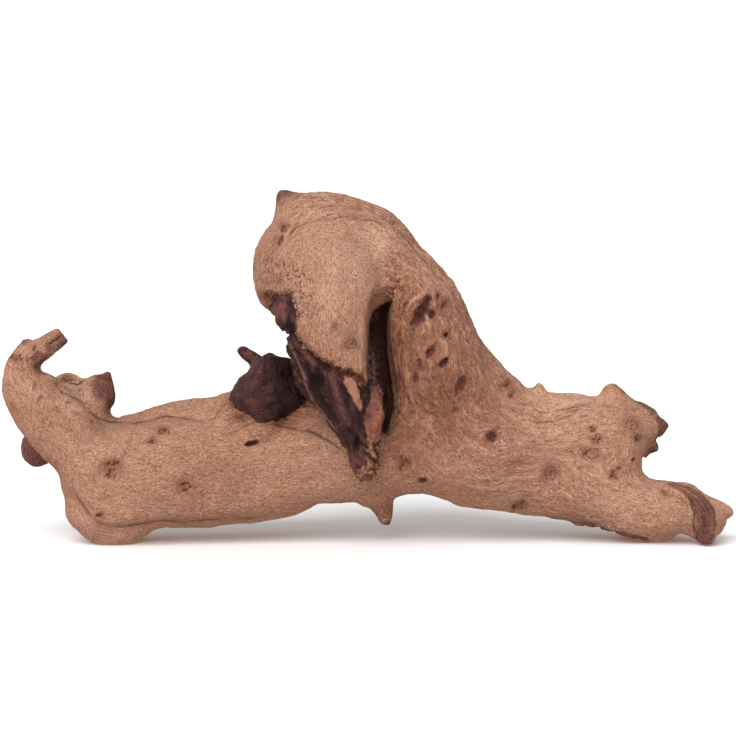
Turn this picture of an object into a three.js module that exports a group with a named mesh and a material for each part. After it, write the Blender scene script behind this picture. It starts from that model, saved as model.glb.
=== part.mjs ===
// Mopani driftwood: one gnarled piece of root wood that stands on its left lobe and its right foot.
// A heavy slab runs along X. A thick trunk rises from its right half, arches over to the left and
// comes down in front as a beak of dark heartwood, with a deep crevice between beak and trunk.
// Millimetres, +Z up, the beak looks along -Y. The origin is under the middle of the piece, on the surface.
import * as THREE from "three";
import { ImprovedNoise } from "three/addons/math/ImprovedNoise.js";
import { edgeTable, triTable } from "three/addons/objects/MarchingCubes.js";

// Driving dimensions
const LENGTH = 350; // left bend of the antler to the tip of the right foot
const CELL = 2.2; // spacing of the grid that the surface is drawn on
const TRIANGLES = 11600; // what the surface is thinned to
const BLOCK = 4; // grid points in a row that are skipped together where no skin is near
const BLOCK_REACH = 1.3; // how near, in block widths: half a block's diagonal and a margin
const FLOOR = 0; // the lobe and the foot are worn flat at this height
const RIPPLE = 0.9; // height of the soft waves on the skin
const RIPPLE_LENGTH = 17; // from one wave to the next
const CARVE_REACH = 6; // creases and knots are worked out only this near the skin
const LIP_WIDTH = 1.5; // how steeply a crease's lip drops

// A limb is a swept oval. Each station is [x, y, z, half width seen from the front, half depth along Y].
// blend is the radius with which it runs into what it grows from, square how boxy its section is.
function limb(stations, { blend = 7, square = 2 } = {}) {
  const line = new THREE.CatmullRomCurve3(
    stations.map(([x, y, z]) => new THREE.Vector3(x, y, z)),
  );
  const girth = new THREE.CatmullRomCurve3(
    stations.map(([, , , width, depth]) => new THREE.Vector3(width, depth, 0)),
  );
  const steps = 4 * (stations.length - 1);
  const rings = [];
  for (let i = 0; i <= steps; i++) {
    const place = line.getPoint(i / steps);
    const size = girth.getPoint(i / steps);
    rings.push({ place, width: size.x, depth: size.y });
  }
  const spans = rings.slice(1).map((b, i) => spanOf(rings[i], b));
  const box = new THREE.Box3();
  for (const r of rings) {
    const reach = Math.max(r.width, r.depth) + blend + 2 * CELL;
    box.expandByPoint(r.place.clone().addScalar(reach));
    box.expandByPoint(r.place.clone().addScalar(-reach));
  }
  return { spans, box, blend, square };
}

// One straight span between two rings, with the directions that its width and depth are measured in.
function spanOf(a, b) {
  const along = b.place.clone().sub(a.place);
  const length = along.length();
  along.divideScalar(length);
  const across = along.clone().cross(new THREE.Vector3(0, 1, 0));
  if (across.lengthSq() < 0.04) across.set(1, 0, 0).addScaledVector(along, -along.x);
  across.normalize();
  const deep = across.clone().cross(along);
  return { a, b, along, across, deep, length };
}

// How far out a point lies in a unit oval, from 0 in its middle to 1 on its edge
function ovalShare(u, v, w, square) {
  if (square === 2) return Math.sqrt(u * u + v * v + w * w);
  return (Math.abs(u) ** square + Math.abs(v) ** square + Math.abs(w) ** square) ** (1 / square);
}

// Distance from (x, y, z) to a limb's skin, negative inside it
function distanceToLimb({ spans, square }, x, y, z) {
  let least = Infinity;
  for (const s of spans) {
    const vx = x - s.a.place.x;
    const vy = y - s.a.place.y;
    const vz = z - s.a.place.z;
    const run = vx * s.along.x + vy * s.along.y + vz * s.along.z;
    const t = Math.min(1, Math.max(0, run / s.length));
    const width = s.a.width + (s.b.width - s.a.width) * t;
    const depth = s.a.depth + (s.b.depth - s.a.depth) * t;
    const past = run - t * s.length;
    const sideways = vx * s.across.x + vy * s.across.y + vz * s.across.z;
    const inwards = vx * s.deep.x + vy * s.deep.y + vz * s.deep.z;
    const share = ovalShare(sideways / width, inwards / depth, (2 * past) / (width + depth), square);
    const far = Math.sqrt(sideways * sideways + inwards * inwards + past * past);
    const d = share > 1e-4 ? ((share - 1) * far) / share : -Math.min(width, depth);
    if (d < least) least = d;
  }
  return least;
}

// The wood that grew
const WOOD = {
  slab: limb(
    [
      [-121.6, -5, 27.6, 27.4, 22],
      [-105, -3, 31.4, 26.8, 25],
      [-85, 0, 32.8, 27.2, 26],
      [-62, 2, 34.2, 26.6, 25],
      [-45, 3, 35.2, 23.8, 26],
      [-28, 3, 39.5, 22, 28],
      [-10, 2, 42.5, 24, 28],
      [12, 2, 47, 24.5, 28],
      [40, 1, 47, 25.5, 28],
      [62, 2, 43.5, 29, 26],
      [84, 3, 41.2, 29.4, 24],
      [107.6, 4, 39.4, 27.2, 22],
    ],
    { square: 2.6, blend: 6 },
  ),
  lobe: limb(
    [
      [-128.4, -5, 17, 15.8, 19],
      [-122, -5, 13.2, 15.4, 19],
      [-113, -3, 17.4, 13, 17],
    ],
    { square: 2.6, blend: 3 },
  ),
  neck: limb(
    [
      [-122, -6, 30, 24, 20],
      [-134, -7, 41.6, 15.2, 17],
      [-146, -9, 55.5, 16.6, 14],
      [-157, -12, 69.5, 14.8, 11.5],
      [-163.4, -14, 80, 9.6, 9],
      [-162.4, -15, 88, 7.4, 7.5],
      [-156.8, -15, 92, 6, 6.5],
      [-151, -13, 95.8, 5, 5.5],
      [-147.8, -11, 97.7, 4.8, 5],
    ],
    { square: 2.2, blend: 4 },
  ),
  antlerKnob: limb([[-160.5, -14, 92, 4, 4], [-162.4, -14, 95.4, 2.4, 3]], { blend: 3 }),
  backStem: limb(
    [
      [-137, 12, 48, 15, 13],
      [-122, 12, 42, 15.4, 15],
      [-104, 11, 44, 18.6, 17],
      [-86, 10, 47, 20, 18],
      [-68, 9, 50, 19.4, 19],
      [-48, 8, 54, 20, 20],
      [-28, 6, 58, 22, 22],
    ],
    { blend: 3 },
  ),
  cup: limb([[-135, 10, 44, 17, 14], [-141, 13, 57, 14.5, 12], [-142, 17, 69, 12.2, 10]], { blend: 4 }),
  cupHorn: limb([[-135.6, 13, 60, 10, 9], [-129, 14, 70, 6, 7], [-126.2, 14, 78.5, 2.3, 3.5]], { blend: 3 }),
  cupWart: limb([[-129, 13, 66, 5, 6], [-126, 13, 68.5, 3.2, 5]], { blend: 2.5 }),
  backKnob: limb([[-150, 9, 51, 10, 10], [-160.6, 13, 42.4, 9.2, 9]], { blend: 2 }),
  core: limb(
    [
      [4, 8, 45, 28, 24],
      [6, 9, 75, 26, 25],
      [2, 8, 105, 28, 26],
      [-10, 4, 128, 28, 26],
    ],
    { blend: 6 },
  ),
  trunk: limb(
    [
      [52, 0, 50.4, 33.6, 27],
      [41, -1, 64.6, 31, 29],
      [31.4, -1, 88, 24.2, 30],
      [22, 0, 110, 24, 29],
      [8, 1, 125, 23.5, 28],
      [-8.5, 0, 132, 32.6, 29],
      [-20.2, -6, 132.4, 33.2, 29],
      [-22, -14, 128, 30, 27],
    ],
    { blend: 6 },
  ),
  crown: limb(
    [
      [-22, -2, 145.4, 23.4, 16],
      [-36, 0, 159.6, 7.4, 8],
      [-40.4, 0, 165.4, 3, 4],
    ],
    { blend: 6 },
  ),
  brow: limb(
    [
      [-35.6, -8, 135, 17, 18],
      [-41.5, -10, 127, 11, 16],
      [-45, -12, 121.5, 5, 12],
    ],
    { blend: 5 },
  ),
  beak: limb(
    [
      [-19, -20, 126, 24, 22],
      [-20, -30, 112, 20, 17],
      [-20, -34, 102, 19.6, 13.5],
      [-18.6, -36, 88, 17.4, 11.5],
      [-13, -37, 77, 13.5, 10.5],
      [-7.5, -36.5, 63, 10, 9],
      [-3.5, -35, 51.5, 7, 7.5],
      [-1.5, -33, 43, 5.2, 6.5],
      [-1.3, -31, 38, 4.4, 5.5],
    ],
    { square: 2.3, blend: 3 },
  ),
  tongue: limb(
    [
      [1, -20, 96, 5, 8],
      [3, -27, 82, 5.5, 8],
      [3.8, -34, 68, 5, 7],
      [2.6, -36, 56, 3.4, 5],
    ],
    { blend: 2 },
  ),
  beakKnob: limb([[-37, -24, 106, 6, 7], [-39, -27, 113, 6, 7]], { blend: 2 }),
  heartKnob: limb(
    [
      [-50, -5, 60, 13, 18],
      [-49, -9, 72, 15, 14],
      [-46.5, -9, 81, 10, 11],
      [-46.5, -9, 88, 3.6, 5],
    ],
    { blend: 2.5 },
  ),
  heartShoulder: limb(
    [
      [-66, 2, 62, 8.4, 14],
      [-55, -4, 69, 8, 14],
      [-38, -6, 72, 11, 14],
    ],
    { blend: 3 },
  ),
  finger: limb(
    [
      [-50, 2, 82, 5, 5],
      [-57.4, 4, 88.2, 3.8, 3.6],
      [-61, 4, 91.4, 2.6, 2.6],
    ],
    { blend: 1.5 },
  ),
  spur: limb([[1, -6, 26, 11, 11], [7, -8, 16, 4.6, 5.5], [9.4, -8, 9.6, 2, 2.6]], { blend: 3 }),
  topWart: limb([[82, 0, 68, 5, 6], [82.5, 0, 72.5, 3.4, 4]], { blend: 2.5 }),
  topKnob: limb([[119.4, 6, 62.6, 9.4, 9], [118, 6, 70.8, 3.8, 5]], { blend: 3 }),
  fork: limb(
    [
      [106, 4, 51, 18.5, 20],
      [124.5, 8, 53.4, 13.8, 15],
      [134.6, 10, 54.2, 9.2, 11],
      [140.8, 10, 54.4, 4, 6],
    ],
    { blend: 4 },
  ),
  forkWart: limb([[131, 9, 45.8, 7.4, 8], [136.6, 10, 44.9, 4.4, 6]], { blend: 2 }),
  foot: limb(
    [
      [98, 1, 30, 20, 22],
      [120, -2, 20, 14.6, 19],
      [136, 0, 14.2, 14.4, 20],
      [149, -6, 15.8, 11.2, 17],
      [157, -9, 13, 11, 14],
      [161.6, -9, 11.2, 8.6, 12],
    ],
    { blend: 5, square: 2.3 },
  ),
  footRim: limb(
    [
      [142, -17, 26.4, 2.4, 4],
      [152, -20, 23.6, 3.4, 5],
      [158.8, -20, 17, 4, 5.5],
      [162.8, -19, 9.6, 4.2, 6],
      [161.4, -17, 3.8, 4, 6],
    ],
    { blend: 2 },
  ),
  footTip: limb(
    [
      [156, -4, 14.4, 9, 9],
      [166.6, -4, 14.8, 5.4, 6],
      [172.8, -4, 14, 3.4, 4],
    ],
    { blend: 3 },
  ),
  rightButtress: limb(
    [
      [6, 18, 128, 16, 14],
      [28, 24, 100, 13, 14],
      [44, 24, 70, 13, 13],
      [74, 16, 46, 14, 12],
    ],
    { blend: 5 },
  ),
  leftButtress: limb(
    [
      [-14, 16, 116, 14, 12],
      [-20, 24, 84, 11, 11],
      [-36, 22, 58, 11, 11],
      [-66, 16, 40, 12, 12],
    ],
    { blend: 5 },
  ),
  stub: limb([[8, 22, 82, 11, 11], [6, 36, 90, 8, 8], [4, 46, 95, 6.5, 6.5]], { blend: 5 }),
};

// What rotted or broke away: the crevice beside the beak, the cup's bowl, the notch at the brow, the
// gap between the fork and the foot
const HOLLOWS = {
  crevice: limb(
    [
      [7, -46, 114, 4.4, 14],
      [5.4, -38, 106, 5.6, 22],
      [7, -36, 91, 5.2, 24],
      [10.2, -35, 78, 4, 22],
      [11.2, -34, 66, 3.2, 18],
      [8.5, -33, 56, 2.2, 10],
    ],
    { square: 3, blend: 1.5 },
  ),
  bowl: limb([[-145, 15, 80, 6, 5], [-144, 15, 72, 4, 3.5]], { blend: 2 }),
  stubRot: limb([[4, 40, 93, 2.5, 2.5], [3, 52, 98, 4, 4]], { blend: 1.5 }),
  browNotch: limb([[-50, -26, 112, 5, 8], [-44, -28, 116, 3.5, 5]], { blend: 2 }),
  forkGap: limb([[153.5, -44, 36.2, 13, 5.2], [153.5, 40, 35.4, 13, 5.2]], { blend: 3 }),
};

// Creases run along lines of [x, z] points on the front skin (side -1) or the back skin (side 1). One edge
// stands forward as a lip: the wood beyond it, above the line or below it, is set back by step and comes
// forward again within fade.
const CREASES = [
  {
    line: [
      [-155, 80], [-150, 77], [-147, 73], [-143, 71], [-138, 69], [-134, 64.5],
      [-130, 61.5], [-124, 59.5], [-112, 59], [-105, 60], [-97, 62.5], [-90, 61.5],
      [-83, 60.5], [-77, 60], [-74, 62], [-71, 66], [-66, 69],
    ],
    side: -1, above: true, step: 3, fade: 10,
  },
  {
    line: [
      [-142, 28], [-138, 21.5], [-134, 15.5], [-130, 11.5], [-124, 9.5], [-118, 9.5], [-110, 10.5],
      [-98, 12.5], [-87, 11.5], [-80, 12.5], [-70, 13.2], [-55, 13.2],
    ],
    side: -1, above: false, step: 2.4, fade: 9,
  },
  {
    line: [[-68, 54], [-55, 60], [-48, 59], [-40, 57.6], [-27, 55.2], [-20, 52]],
    side: -1, above: true, step: 2.4, fade: 8,
  },
  {
    line: [
      [-44, 146], [-38, 152], [-26, 157], [-11, 159], [4, 157],
      [17, 150], [28, 138], [38, 126], [44, 112],
    ],
    side: -1, above: true, step: 2.2, fade: 7,
  },
  {
    line: [[-37, 112], [-33, 103], [-27, 95], [-20, 89.5], [-13, 84], [-8, 85.5], [-1, 83]],
    side: -1, above: false, step: 3, fade: 15,
  },
  {
    line: [[80, 63], [92, 64], [100, 66], [107, 66.8], [122, 66]],
    side: -1, above: true, step: 1.5, fade: 7,
  },
  { line: [[82, 58], [97, 58], [108, 62]], side: -1, above: true, step: 1, fade: 5 },
  {
    line: [[-120, 44], [-96, 50], [-70, 56], [-46, 70], [-34, 92], [-30, 118], [-20, 140]],
    side: 1, above: true, step: 2.2, fade: 9,
  },
  {
    line: [[40, 118], [52, 92], [66, 70], [88, 54], [112, 46]],
    side: 1, above: false, step: 2.2, fade: 9,
  },
  {
    line: [[-110, 22], [-70, 26], [-30, 34], [10, 36], [50, 28], [90, 22]],
    side: 1, above: false, step: 1.8, fade: 8,
  },
];

// Knots are pits with a low rim: [x, z, half width, half height, lean in degrees, depth, side]
const KNOTS = [
  [-123, 37.5, 4.6, 4.2, 0, 1.6, -1],
  [-88, 28.5, 4.4, 4, 0, 1.6, -1],
  [-56, 49, 6, 2, 8, 1.4, -1],
  [27, 112, 4, 8, -22, 2.6, -1],
  [37, 101, 3, 3.6, -20, 1.6, -1],
  [35.5, 88, 3.4, 4, -15, 1.8, -1],
  [25, 86, 3, 3.4, 0, 1.4, -1],
  [45.5, 78.5, 4, 5.2, -25, 1.8, -1],
  [59.5, 53, 4.6, 4.8, 0, 2.2, -1],
  [17.5, 40, 3.2, 3.2, 0, 1.4, -1],
  [87, 34.5, 4.6, 4.2, 0, 1.8, -1],
  [106, 43.5, 4.6, 4, 0, 1.4, -1],
  [123.5, 58.5, 3.6, 3.4, 0, 1.4, -1],
  [-100, 34, 5, 4.4, 10, 2, 1],
  [-52, 40, 4.2, 4.6, 0, 1.8, 1],
  [-8, 122, 6, 5, 20, 2.4, 1],
  [34, 52, 5, 6, -20, 2.2, 1],
  [92, 40, 5, 4.4, 0, 2, 1],
  [-4, 60, 4, 6, 10, 1.8, 1],
];

// Smaller of two distances, rounded where they meet
function join(a, b, radius) {
  const overlap = Math.max(radius - Math.abs(a - b), 0) / radius;
  return Math.min(a, b) - (overlap * overlap * radius) / 4;
}

const noise = new ImprovedNoise();
const limbs = Object.values(WOOD);
const hollows = Object.values(HOLLOWS);

// How far a crease sets the skin back at (x, z)
function creaseDepth({ line, above, step, fade }, x, z) {
  let near = Infinity;
  let beyond = 0;
  let end = 0;
  for (let i = 1; i < line.length; i++) {
    const [ax, az] = line[i - 1];
    const ux = line[i][0] - ax;
    const uz = line[i][1] - az;
    const length = Math.hypot(ux, uz);
    const run = ((x - ax) * ux + (z - az) * uz) / length;
    const t = THREE.MathUtils.clamp(run / length, 0, 1);
    const away = Math.hypot(x - ax - t * ux, z - az - t * uz);
    if (away >= near) continue;
    near = away;
    const left = ux * (z - az) - uz * (x - ax) > 0;
    beyond = left === above ? away : -away;
    end = Math.min(i - 1 + t, line.length - i - t);
  }
  const width = beyond > 0 ? fade : LIP_WIDTH;
  return step * Math.min(1, end) * Math.exp(-((beyond / width) ** 2));
}

// How far a knot sets the skin back at (x, z), less than zero on its rim
function knotDepth([knotX, knotZ, halfWidth, halfHeight, lean, depth], x, z) {
  const turn = THREE.MathUtils.degToRad(lean);
  const u = ((x - knotX) * Math.cos(turn) + (z - knotZ) * Math.sin(turn)) / halfWidth;
  const v = ((z - knotZ) * Math.cos(turn) - (x - knotX) * Math.sin(turn)) / halfHeight;
  const out = Math.hypot(u, v);
  return depth * (Math.exp(-1.5 * out * out) - 0.35 * Math.exp(-6 * (out - 1.25) ** 2));
}

// Distance from a point to the skin of the whole piece, negative inside the wood
function distanceToWood(point) {
  const { x, y, z } = point;
  let d = 2 * RIPPLE_LENGTH;
  for (const l of limbs)
    if (l.box.containsPoint(point)) d = join(d, distanceToLimb(l, x, y, z), l.blend);
  for (const h of hollows)
    if (h.box.containsPoint(point)) d = -join(-d, distanceToLimb(h, x, y, z), h.blend);
  d += RIPPLE * noise.noise(x / RIPPLE_LENGTH, y / RIPPLE_LENGTH, z / RIPPLE_LENGTH);
  if (Math.abs(d) < CARVE_REACH) {
    for (const c of CREASES) d += creaseDepth(c, x, z) * THREE.MathUtils.smoothstep(c.side * y, -4, 10);
    for (const k of KNOTS) d += knotDepth(k, x, z) * THREE.MathUtils.smoothstep(k[6] * y, -4, 10);
  }
  return Math.max(d, FLOOR - z);
}

// Draws the skin by marching cubes over a grid. Returns points and triangles that share them.
function drawSkin(distance, box) {
  const low = box.min.clone().subScalar(1.5 * CELL);
  const count = box.max.clone().addScalar(1.5 * CELL).sub(low).divideScalar(CELL).ceil().addScalar(1);
  const index = (i, j, k) => i + count.x * (j + count.y * k);
  const values = new Float32Array(count.x * count.y * count.z);
  const point = new THREE.Vector3();
  const placeOf = (i, j, k) => point.set(i, j, k).multiplyScalar(CELL).add(low);
  // Blocks of the grid whose middle is far from the skin take the middle's value and are not drawn
  const farFromSkin = BLOCK_REACH * BLOCK * CELL;
  for (let k0 = 0; k0 < count.z; k0 += BLOCK)
    for (let j0 = 0; j0 < count.y; j0 += BLOCK)
      for (let i0 = 0; i0 < count.x; i0 += BLOCK) {
        const half = (BLOCK - 1) / 2;
        const middle = distance(placeOf(i0 + half, j0 + half, k0 + half));
        const far = Math.abs(middle) > farFromSkin;
        for (let k = k0; k < Math.min(k0 + BLOCK, count.z); k++)
          for (let j = j0; j < Math.min(j0 + BLOCK, count.y); j++)
            for (let i = i0; i < Math.min(i0 + BLOCK, count.x); i++)
              values[index(i, j, k)] = far ? middle : distance(placeOf(i, j, k)) || 1e-4;
      }

  const points = [];
  const triangles = [];
  const known = new Map();
  // The point where the skin crosses the grid edge from (i, j, k) one step along an axis, 0 for X to 2 for Z
  const crossing = (i, j, k, axis) => {
    const a = index(i, j, k);
    const key = 3 * a + axis;
    if (!known.has(key)) {
      const step = [axis === 0 ? 1 : 0, axis === 1 ? 1 : 0, axis === 2 ? 1 : 0];
      const b = index(i + step[0], j + step[1], k + step[2]);
      const share = values[a] / (values[a] - values[b]);
      const at = placeOf(i, j, k).clone().addScaledVector(new THREE.Vector3(...step), share * CELL);
      known.set(key, points.length);
      points.push(at);
    }
    return known.get(key);
  };
  // Corners and edges of a cell in the order that the tables use
  const CORNERS = [
    [0, 0, 0], [1, 0, 0], [0, 1, 0], [1, 1, 0],
    [0, 0, 1], [1, 0, 1], [0, 1, 1], [1, 1, 1],
  ];
  const CORNER_BITS = [1, 2, 8, 4, 16, 32, 128, 64];
  const EDGES = [
    [0, 0, 0, 0], [1, 0, 0, 1], [0, 1, 0, 0], [0, 0, 0, 1],
    [0, 0, 1, 0], [1, 0, 1, 1], [0, 1, 1, 0], [0, 0, 1, 1],
    [0, 0, 0, 2], [1, 0, 0, 2], [1, 1, 0, 2], [0, 1, 0, 2],
  ];
  for (let k = 0; k < count.z - 1; k++)
    for (let j = 0; j < count.y - 1; j++)
      for (let i = 0; i < count.x - 1; i++) {
        let kind = 0;
        CORNERS.forEach(([di, dj, dk], c) => {
          if (values[index(i + di, j + dj, k + dk)] < 0) kind |= CORNER_BITS[c];
        });
        if (!edgeTable[kind]) continue;
        for (let n = 16 * kind; triTable[n] !== -1; n += 3) {
          const corners = [0, 2, 1].map((m) => {
            const [di, dj, dk, axis] = EDGES[triTable[n + m]];
            return crossing(i + di, j + dj, k + dk, axis);
          });
          triangles.push(corners);
        }
      }
  return { points, triangles };
}

// Adds the plane through a triangle to the sums that measure how far a point is from its triangles.
// The ten numbers are the upper half of the matrix n n' with n = (x, y, z, distance) of the plane.
function addPlane(sums, { normal, constant }, weight) {
  const n = [normal.x, normal.y, normal.z, constant];
  let at = 0;
  for (let i = 0; i < 4; i++) for (let j = i; j < 4; j++) sums[at++] += weight * n[i] * n[j];
}

// Sum of the squared distances from a point to the planes
function costAt(q, { x, y, z }) {
  return (
    q[0] * x * x + q[4] * y * y + q[7] * z * z + q[9] +
    2 * (q[1] * x * y + q[2] * x * z + q[3] * x + q[5] * y * z + q[6] * y + q[8] * z)
  );
}

const NEAR_FLOOR = 1e-6; // a point this near the floor counts as worn flat
const LENGTH_COST = 1e-3; // makes a short edge go before a long one where both lie flat
const LEAST_AREA = 1e-3; // of a triangle that stays
const MOST_TURN = Math.cos(THREE.MathUtils.degToRad(75)); // of a triangle when its corner moves

// Thins a closed skin until it has the wanted number of triangles. In every round the edges that cost the
// least are drawn together to a point, as long as nothing turns over and the skin stays one closed sheet.
function thin({ points, triangles }, wanted) {
  const sums = points.map(() => new Float64Array(10));
  for (const t of triangles) {
    const face = new THREE.Triangle(...t.map((p) => points[p]));
    const plane = face.getPlane(new THREE.Plane());
    for (const p of t) addPlane(sums[p], plane, face.getArea());
  }

  // Where the ends of an edge meet at the lowest cost. A point worn flat on the floor stays on it.
  const bestPlace = (p, q) => {
    const both = sums[p].map((value, i) => value + sums[q][i]);
    const [a, b] = [points[p], points[q]];
    const places = [a, b, a.clone().lerp(b, 0.5)];
    const onFloor = places.filter((at) => at.z < FLOOR + NEAR_FLOOR);
    let best = null;
    for (const at of onFloor.length ? onFloor : places) {
      const cost = costAt(both, at) + LENGTH_COST * a.distanceToSquared(b);
      if (!best || cost < best.cost) best = { p, q, at, cost, both };
    }
    return best;
  };

  while (triangles.length > wanted) {
    const around = points.map(() => []);
    triangles.forEach((t) => t.forEach((p) => around[p].push(t)));
    const edges = [];
    for (const t of triangles)
      t.forEach((p, m) => {
        const q = t[(m + 1) % 3];
        if (p < q) edges.push(bestPlace(p, q));
      });
    edges.sort((e, f) => e.cost - f.cost);

    // Moving a corner must not turn over or flatten any triangle that stays
    const keepsFacing = (moved, other, at) =>
      around[moved].every((t) => {
        if (t.includes(other)) return true;
        const before = new THREE.Triangle(...t.map((p) => points[p])).getNormal(new THREE.Vector3());
        const after = new THREE.Triangle(...t.map((p) => (p === moved ? at : points[p])));
        if (after.getArea() < LEAST_AREA) return false;
        return after.getNormal(new THREE.Vector3()).dot(before) > MOST_TURN;
      });

    const settled = new Set();
    let merges = Math.min((triangles.length - wanted) / 2, edges.length / 16);
    for (const { p, q, at, both } of edges) {
      if (merges <= 0) break;
      const nearP = new Set(around[p].flat());
      const nearQ = new Set(around[q].flat());
      if ([...nearP, ...nearQ].some((near) => settled.has(near))) continue;
      const shared = [...nearP].filter((near) => nearQ.has(near));
      if (shared.length !== 4 || !keepsFacing(p, q, at) || !keepsFacing(q, p, at)) continue;
      for (const t of around[q]) t[t.indexOf(q)] = p;
      points[p].copy(at);
      sums[p] = both;
      for (const near of [...nearP, ...nearQ]) settled.add(near);
      merges--;
    }
    const left = triangles.filter(([a, b, c]) => a !== b && b !== c && c !== a);
    if (left.length === triangles.length) break;
    triangles = left;
  }
  return { points, triangles };
}

const reach = new THREE.Box3();
for (const l of limbs) reach.union(l.box);
reach.min.z = FLOOR;
const skin = thin(drawSkin(distanceToWood, reach), TRIANGLES);

// The piece at its full length, with the origin under its middle
const geometry = new THREE.BufferGeometry().setFromPoints(skin.points);
geometry.setIndex(skin.triangles.flat());
const drawn = new THREE.Box3().setFromPoints(skin.triangles.flat().map((p) => skin.points[p]));
const scale = LENGTH / (drawn.max.x - drawn.min.x);
const middle = drawn.getCenter(new THREE.Vector3());
geometry.translate(-middle.x, -middle.y, -drawn.min.z).scale(scale, scale, scale);

const wood = new THREE.Mesh(
  geometry,
  new THREE.MeshStandardMaterial({ color: 0xb07f66, roughness: 0.85, metalness: 0 }),
);
wood.name = "mopani_wood";
const piece = new THREE.Group();
piece.add(wood);

export default piece;
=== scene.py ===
"""Mopani driftwood: the skin, colours and stage of one gnarled piece of root wood.

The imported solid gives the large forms. This script copies it into a fine mesh, sculpts creases, knots,
torn edges and grain into that, and paints sapwood and dark heartwood with procedural materials.
The tables and the maths of the skin are in millimetres, and Blender's own lengths in metres. The front
view's places are (across, up); the row frame is x to the right, y away from the front and z up.
"""

import math

import bpy
import numpy as np
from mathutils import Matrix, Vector
from mathutils.bvhtree import BVHTree
from mathutils.kdtree import KDTree


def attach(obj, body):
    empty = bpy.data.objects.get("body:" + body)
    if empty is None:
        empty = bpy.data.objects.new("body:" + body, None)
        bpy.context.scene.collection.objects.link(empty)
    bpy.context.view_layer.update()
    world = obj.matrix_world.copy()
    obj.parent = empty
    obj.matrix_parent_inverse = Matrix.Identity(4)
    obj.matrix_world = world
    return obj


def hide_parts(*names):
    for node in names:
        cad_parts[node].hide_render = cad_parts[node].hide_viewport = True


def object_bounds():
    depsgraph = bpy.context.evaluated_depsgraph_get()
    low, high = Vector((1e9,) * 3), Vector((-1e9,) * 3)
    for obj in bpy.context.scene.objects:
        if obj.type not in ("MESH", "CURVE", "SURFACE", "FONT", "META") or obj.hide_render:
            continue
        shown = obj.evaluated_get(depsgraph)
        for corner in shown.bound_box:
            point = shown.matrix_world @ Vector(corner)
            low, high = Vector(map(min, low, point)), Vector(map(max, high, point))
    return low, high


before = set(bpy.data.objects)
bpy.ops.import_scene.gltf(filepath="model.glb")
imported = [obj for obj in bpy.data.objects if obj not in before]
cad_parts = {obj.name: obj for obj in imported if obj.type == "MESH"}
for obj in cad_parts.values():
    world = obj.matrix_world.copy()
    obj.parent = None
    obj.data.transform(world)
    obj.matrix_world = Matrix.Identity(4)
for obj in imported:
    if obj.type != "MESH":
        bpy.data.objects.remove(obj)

bl_info = {
    "name": "Mopani driftwood",
    "version": (1, 0, 0),
    "blender": (4, 5, 0),
    "location": "View3D > Sidebar > Driftwood",
    "description": "Sculpts and paints a piece of mopani driftwood around its packed solid",
    "category": "Object",
}

NODE = "mopani_wood"
CAD_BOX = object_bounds()
MM = 0.001

# ---- The front view
# Places on the front are (across, up) in millimetres on a plane through the middle of the piece, as the
# stage's camera sees them, so they hold whatever depth the skin has there.

CAMERA_ELEVATION = math.radians(6)
CAMERA_DISTANCE = 1.178
CAMERA_TARGET = Vector((-0.00113, 0, 0.083))
CAMERA_LENS, CAMERA_SENSOR = 120, 36
KEY_LIGHT_WAY = Vector((-0.35, -0.85, 0.95))


def camera_place():
    back = Vector((0, -math.cos(CAMERA_ELEVATION), math.sin(CAMERA_ELEVATION)))
    return CAMERA_TARGET + back * CAMERA_DISTANCE


def front_view(points):
    """(across, up) in millimetres of points in metres, as seen from the camera."""
    away = points - np.array(camera_place())
    sin, cos = math.sin(CAMERA_ELEVATION), math.cos(CAMERA_ELEVATION)
    depth = away @ np.array((0, cos, -sin))
    scale = CAMERA_DISTANCE / depth / MM
    across = away[:, 0] * scale
    up = (away @ np.array((0, sin, cos))) * scale + CAMERA_TARGET.z / MM
    return np.stack((across, up), 1)


# ---- Small maths, on arrays


def ramp(value, start, end):
    """0 before start and 1 after end, smooth between; start may be the larger."""
    t = np.clip((value - start) / (end - start), 0, 1)
    return t * t * (3 - 2 * t)


def taper(along, share):
    """1 along the middle of a line, falling to 0 over a share of it at each end."""
    return ramp(along, 0, share) * ramp(along, 1, 1 - share)


def bump(value, width):
    """1 at zero, falling to nothing a few widths away."""
    return np.exp(-((value / width) ** 2))


HASH_PRIMES = np.array((73856093, 19349663, 83492791))
GRADIENTS = np.random.default_rng(7).normal(size=(256, 3))
GRADIENTS /= np.linalg.norm(GRADIENTS, axis=1, keepdims=True)
NOISE_SCALE = 1.6


def noise(points, seed=0):
    """Gradient noise from about -1 to 1 with cells one unit wide."""
    base = np.floor(points).astype(np.int64)
    part = points - base
    fade = part**3 * (part * (part * 6 - 15) + 10)
    total = np.zeros(len(points))
    for corner in np.ndindex(2, 2, 2):
        cell = base + corner
        pick = (cell @ HASH_PRIMES + 974711 * seed) & 0x7FFFFFFF
        pick = (pick ^ (pick >> 13)) * 60493 & 0x7FFFFFFF
        gradient = GRADIENTS[(pick >> 7) & 255]
        offset = part - corner
        weight = np.prod(np.where(corner, fade, 1 - fade), axis=1)
        total += weight * np.einsum("ij,ij->i", gradient, offset)
    return NOISE_SCALE * total


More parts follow.
